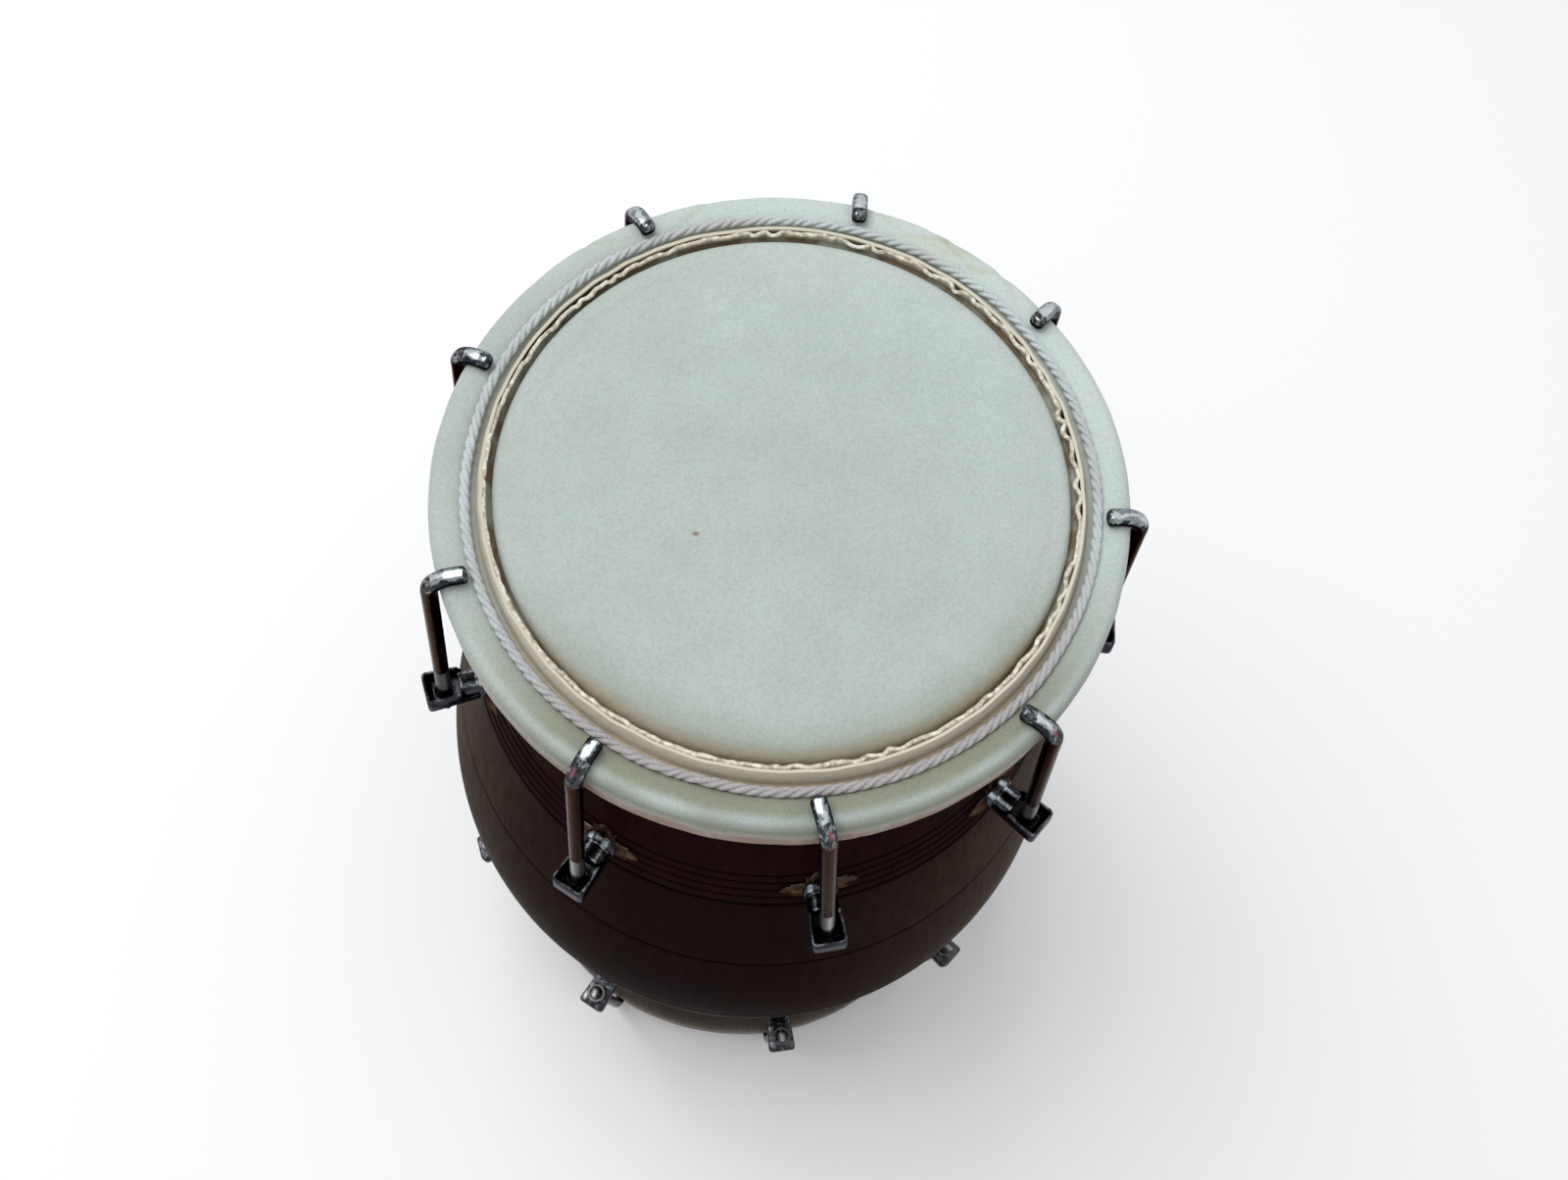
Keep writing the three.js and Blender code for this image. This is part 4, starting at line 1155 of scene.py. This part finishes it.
def cast_box():
    """Outlines stacked from the foot of the box up its outside, over its rim, down its inside
    to the floor and through the hole of the rod, joined into one closed surface."""
    half = BOX_HEIGHT / 2
    floor = BOX_FLOOR - half
    foot = floor + 1.4
    hole_angle = np.arange(BOX_COLUMNS) * 2 * np.pi / BOX_COLUMNS
    hole = (ROD_RADIUS + 0.75) * np.stack([np.cos(hole_angle), np.sin(hole_angle)], -1)
    levels = [
        (box_outline(1.2, 1.6), -half),
        (box_outline(0.5, 2.0), -half + 0.2),
        (box_outline(0.0, 2.3), -half + 1.0),
        (box_outline(0.0, 2.3), half - 1.0),
        (box_outline(0.25, 2.1), half - 0.3),
        (box_outline(0.7, 1.9), half),
        (box_outline(1.2, 1.7), half - 0.15),
        (box_outline(1.5, 1.6), half - 0.9),
        (box_outline(1.8, 1.8), floor + 1.4),
        (box_outline(2.4, 2.0), floor + 0.3),
        (box_outline(3.2, 2.0), floor),
        (hole * 1.08, floor),
        (hole, floor - 0.3),
        (hole, -half + 0.3),
        (hole * 1.06, -half),
    ]
    slope_start, slope_length = -9.6, 3.2
    rings = []
    for plan, height in levels:
        full = np.clip((plan[:, 0] - slope_start) / slope_length, 0.06, 1)
        full = full * full * (3 - 2 * full)
        rise = np.where(height > foot, foot + (height - foot) * full, height)
        rings.append(np.column_stack([plan, rise]))
    return tube(np.stack(rings), closed_rows=True)


def turned_out(profile, columns):
    """A profile of (distance, radius) turned about the outward axis of a lug."""
    angle = np.arange(columns) * 2 * np.pi / columns
    distance, radius = np.array(profile).T
    y = radius[:, None] * np.cos(angle)
    z = radius[:, None] * np.sin(angle)
    x = np.broadcast_to(distance[:, None], y.shape)
    return tube(np.stack([x, y, z], -1))


def lug_casting():
    """The box with its boss and collar, and the stud and inner nut behind them."""
    root = -ROD_REACH + 0.6
    boss = turned_out(
        [
            (root, 7.4),
            (root + 3.0, 7.4),
            (root + 3.5, 7.2),
            (root + 3.8, 6.9),
            (root + 3.9, BOSS_RADIUS + 0.1),
            (root + 4.4, BOSS_RADIUS - 0.1),
            (root + 5.0, BOSS_RADIUS),
            (-8.2, BOSS_RADIUS),
            (-7.7, BOSS_RADIUS + 0.1),
            (-7.5, BOSS_RADIUS + 0.5),
            (-6.6, BOSS_RADIUS + 0.5),
            (-6.4, BOSS_RADIUS),
        ],
        72,
    )
    wall_inside = -ROD_REACH - SHELL_WALL - 3.0
    stud_radius, nut_radius, nut_height = 2.6, 5.6, 4.5
    stud_end = wall_inside - nut_height
    stud = turned_out([(stud_end, stud_radius), (root + 1, stud_radius)], 16)
    nut = turned_out([(stud_end, nut_radius), (wall_inside, nut_radius)], 6)
    return join(cast_box(), boss, stud, nut)


def leaf_reach(angle):
    """The plate's outline as a distance from its middle: four leaves with toothed shoulders."""
    corners = np.radians([-45, -31, -25, -17, -11, 0, 11, 17, 25, 31, 45])
    reach = np.array([0.46, 0.60, 0.78, 0.68, 0.86, 1.0, 0.86, 0.68, 0.78, 0.60, 0.46])
    turn = (angle + np.pi / 4) % (np.pi / 2) - np.pi / 4
    return np.interp(turn, corners, reach)


def leaf_plate(end, number):
    """A thin plate of leaves behind one lug, bent to the barrel: each point of its plan keeps
    its height and its direction from the drum's axis, and lies on the shell there. It is
    thickest at its middle, with a rib along each leaf."""
    columns, leaf_length, height_share, edge_share = 176, 17.0, 0.86, 0.87
    angle = np.arange(columns) * 2 * np.pi / columns
    share = np.array([0.3, 0.45, 0.6, 0.75, edge_share, 0.95, 1.0])[:, None]
    reach = leaf_length * leaf_reach(angle)
    side = share * reach * np.cos(angle)
    rise = share * reach * np.sin(angle) * height_share
    rib = np.exp(-((np.abs((angle + np.pi / 4) % (np.pi / 2) - np.pi / 4)) / 0.10) ** 2)
    swell = 1.1 + 0.9 * (1 - share**2) + 0.35 * rib * (1 - share)
    swell = swell - 0.5 * np.clip((share - edge_share) / 0.13, 0, 1)
    plan = np.stack([np.full_like(side, -ROD_REACH), side, rise], -1)
    plan = at_station(from_lug(plan, end), end, number)
    turn, height = np.arctan2(plan[..., 1], plan[..., 0]), plan[..., 2]
    layers = []
    for lift, rows in ((swell, slice(None)), (np.zeros_like(swell), slice(None, None, -1))):
        radius = (shell_radius(height) + SEAT_GAP + lift)[rows]
        layers.append(around_axis(radius, turn[rows], height[rows]))
    return tube(np.concatenate(layers))


lug_chrome, tree, shader = finish(
    "cast_chrome", (0.05, 0.05, 0.06), 0.18, Metallic=1.0, Specular_Tint=(0.40, 0.40, 0.42, 1)
)
pits = noise(tree, 260.0, 4.0, 0.6)
cast = ramp(tree, pits, (0.3, (0.026, 0.025, 0.029)), (0.7, (0.085, 0.086, 0.095)))
# Painted highlights on the boss, along the box's rim and under its foot.
bright = ramp(tree, pits, (0.36, (0.13, 0.145, 0.16)), (0.6, (0.60, 0.67, 0.71)))
pitted = math_of(tree, "MULTIPLY_ADD", pits, 1.0, -0.5)
shine = math_of(tree, "ADD", mark_value(tree, "gleam"), pitted)
cast = layered(
    tree,
    cast,
    (ramp(tree, shine, (0.36, 0.0), (0.85, 1.0)), bright),
    # Painted shade inside the box.
    (mark_value(tree, "tray"), (0.022, 0.022, 0.027)),
)
dress(tree, shader, cast, (pits, 0.3))
brass, tree, shader = finish(
    "old_brass", (0.12, 0.09, 0.06), 0.36, Metallic=1.0, Specular_Tint=(0.35, 0.30, 0.25, 1)
)
tarnish = noise(tree, 180.0, 5.0, 0.6)
dull_brass = ramp(tree, tarnish, (0.3, (0.022, 0.015, 0.012)), (0.7, (0.110, 0.080, 0.060)))
dress(tree, shader, dull_brass, (tarnish, 0.25))

BOSS_GLEAMS = ((-0.62, 0.20, 1.0), (0.42, 0.28, 0.9))  # angle round the boss, width, strength of each painted highlight band
casting_points, casting_quads = lug_casting()
outward_part, sideways_part, upward_part = casting_points.T
round_part = np.arctan2(sideways_part, upward_part)
box_points = len(cast_box()[0])
on_boss = (np.arange(len(casting_points)) >= box_points) & (outward_part > -ROD_REACH)
band = sum(
    strength * np.exp(-(((round_part - place) / width) ** 2))
    for place, width, strength in BOSS_GLEAMS
)
# Painted highlights along the box's rim and under its foot.
on_rim = (outward_part > -6.4) & (upward_part > BOX_HEIGHT / 2 - 0.45)
under = -upward_part > BOX_HEIGHT / 2 - 0.3
gleam = np.where(on_boss, band, 0.42 * on_rim + 0.36 * under)
# Painted shade over the inside of the box, from under its rim down to the hole.
tray = np.zeros(len(casting_points))
tray[RIM_ROW * BOX_COLUMNS : box_points] = 1
for end in ENDS:
    casting_solid = from_lug(casting_points, end), casting_quads
    for number in range(BOLT_COUNT):
        marks = {"gleam": gleam, "tray": tray}
        casting = add_at_station(
            "casting", end, number, casting_solid, "drum", "chrome", lug_chrome, marks
        )
        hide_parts(f"{end}_lug_{number + 1}")
        add_piece(f"{end}_plate_{number + 1}", leaf_plate(end, number), "drum", "brass", brass)


# Tuning nuts
# A plain hexagon nut of plated steel under each lug, chamfered at both faces. Screwed up the
# rod against the lug, it draws the hook down and tightens the head.
def hexagon_nut():
    """A hexagon cut by a cone at each face, carried from the bore over one face, along the
    outside and back over the other face. A row with no radius is on the hexagon."""
    columns, half_flats, face_radius = 60, 5.0, 4.85
    angle = np.arange(columns) * 2 * np.pi / columns
    facet = (angle + np.pi / 6) % (np.pi / 3) - np.pi / 6
    hexagon = half_flats / np.cos(facet)
    bore = ROD_RADIUS + 0.05
    top = -BOX_HEIGHT / 2 - SEAT_GAP
    low = top - NUT_HEIGHT
    rows = [(bore, low + 0.5), (bore + 0.5, low), (face_radius, low)]
    rows += [(None, low), (None, low + 0.35), (None, low + 0.8)]
    rows += [(None, top - 0.8), (None, top - 0.35), (None, top)]
    rows += [(face_radius, top), (bore + 0.5, top), (bore, top - 0.5)]
    rings = []
    for radius, height in rows:
        depth = min(height - low, top - height)
        cone = 5.05 + depth * 1.5
        reach = np.minimum(hexagon, cone) if radius is None else np.full(columns, radius)
        rings.append(around_axis(reach, angle, height))
    return tube(np.stack(rings), closed_rows=True)


nut_steel, tree, shader = finish("nut_plating", (0.09, 0.08, 0.08), 0.26, Metallic=1.0)
scuffs = noise(tree, 500.0, 4.0, 0.6)
plating = ramp(tree, scuffs, (0.3, (0.045, 0.040, 0.040)), (0.7, (0.14, 0.125, 0.12)))
dress(tree, shader, plating, (scuffs, 0.15))
nut_points, nut_quads = hexagon_nut()
for end in ENDS:
    nut_solid = from_lug(nut_points, end), nut_quads
    for number in range(BOLT_COUNT):
        node = f"{end}_nut_{number + 1}"
        nut = add_at_station(
            "tuning_nut", end, number, nut_solid, node, "plated_steel", nut_steel
        )
        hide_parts(node)
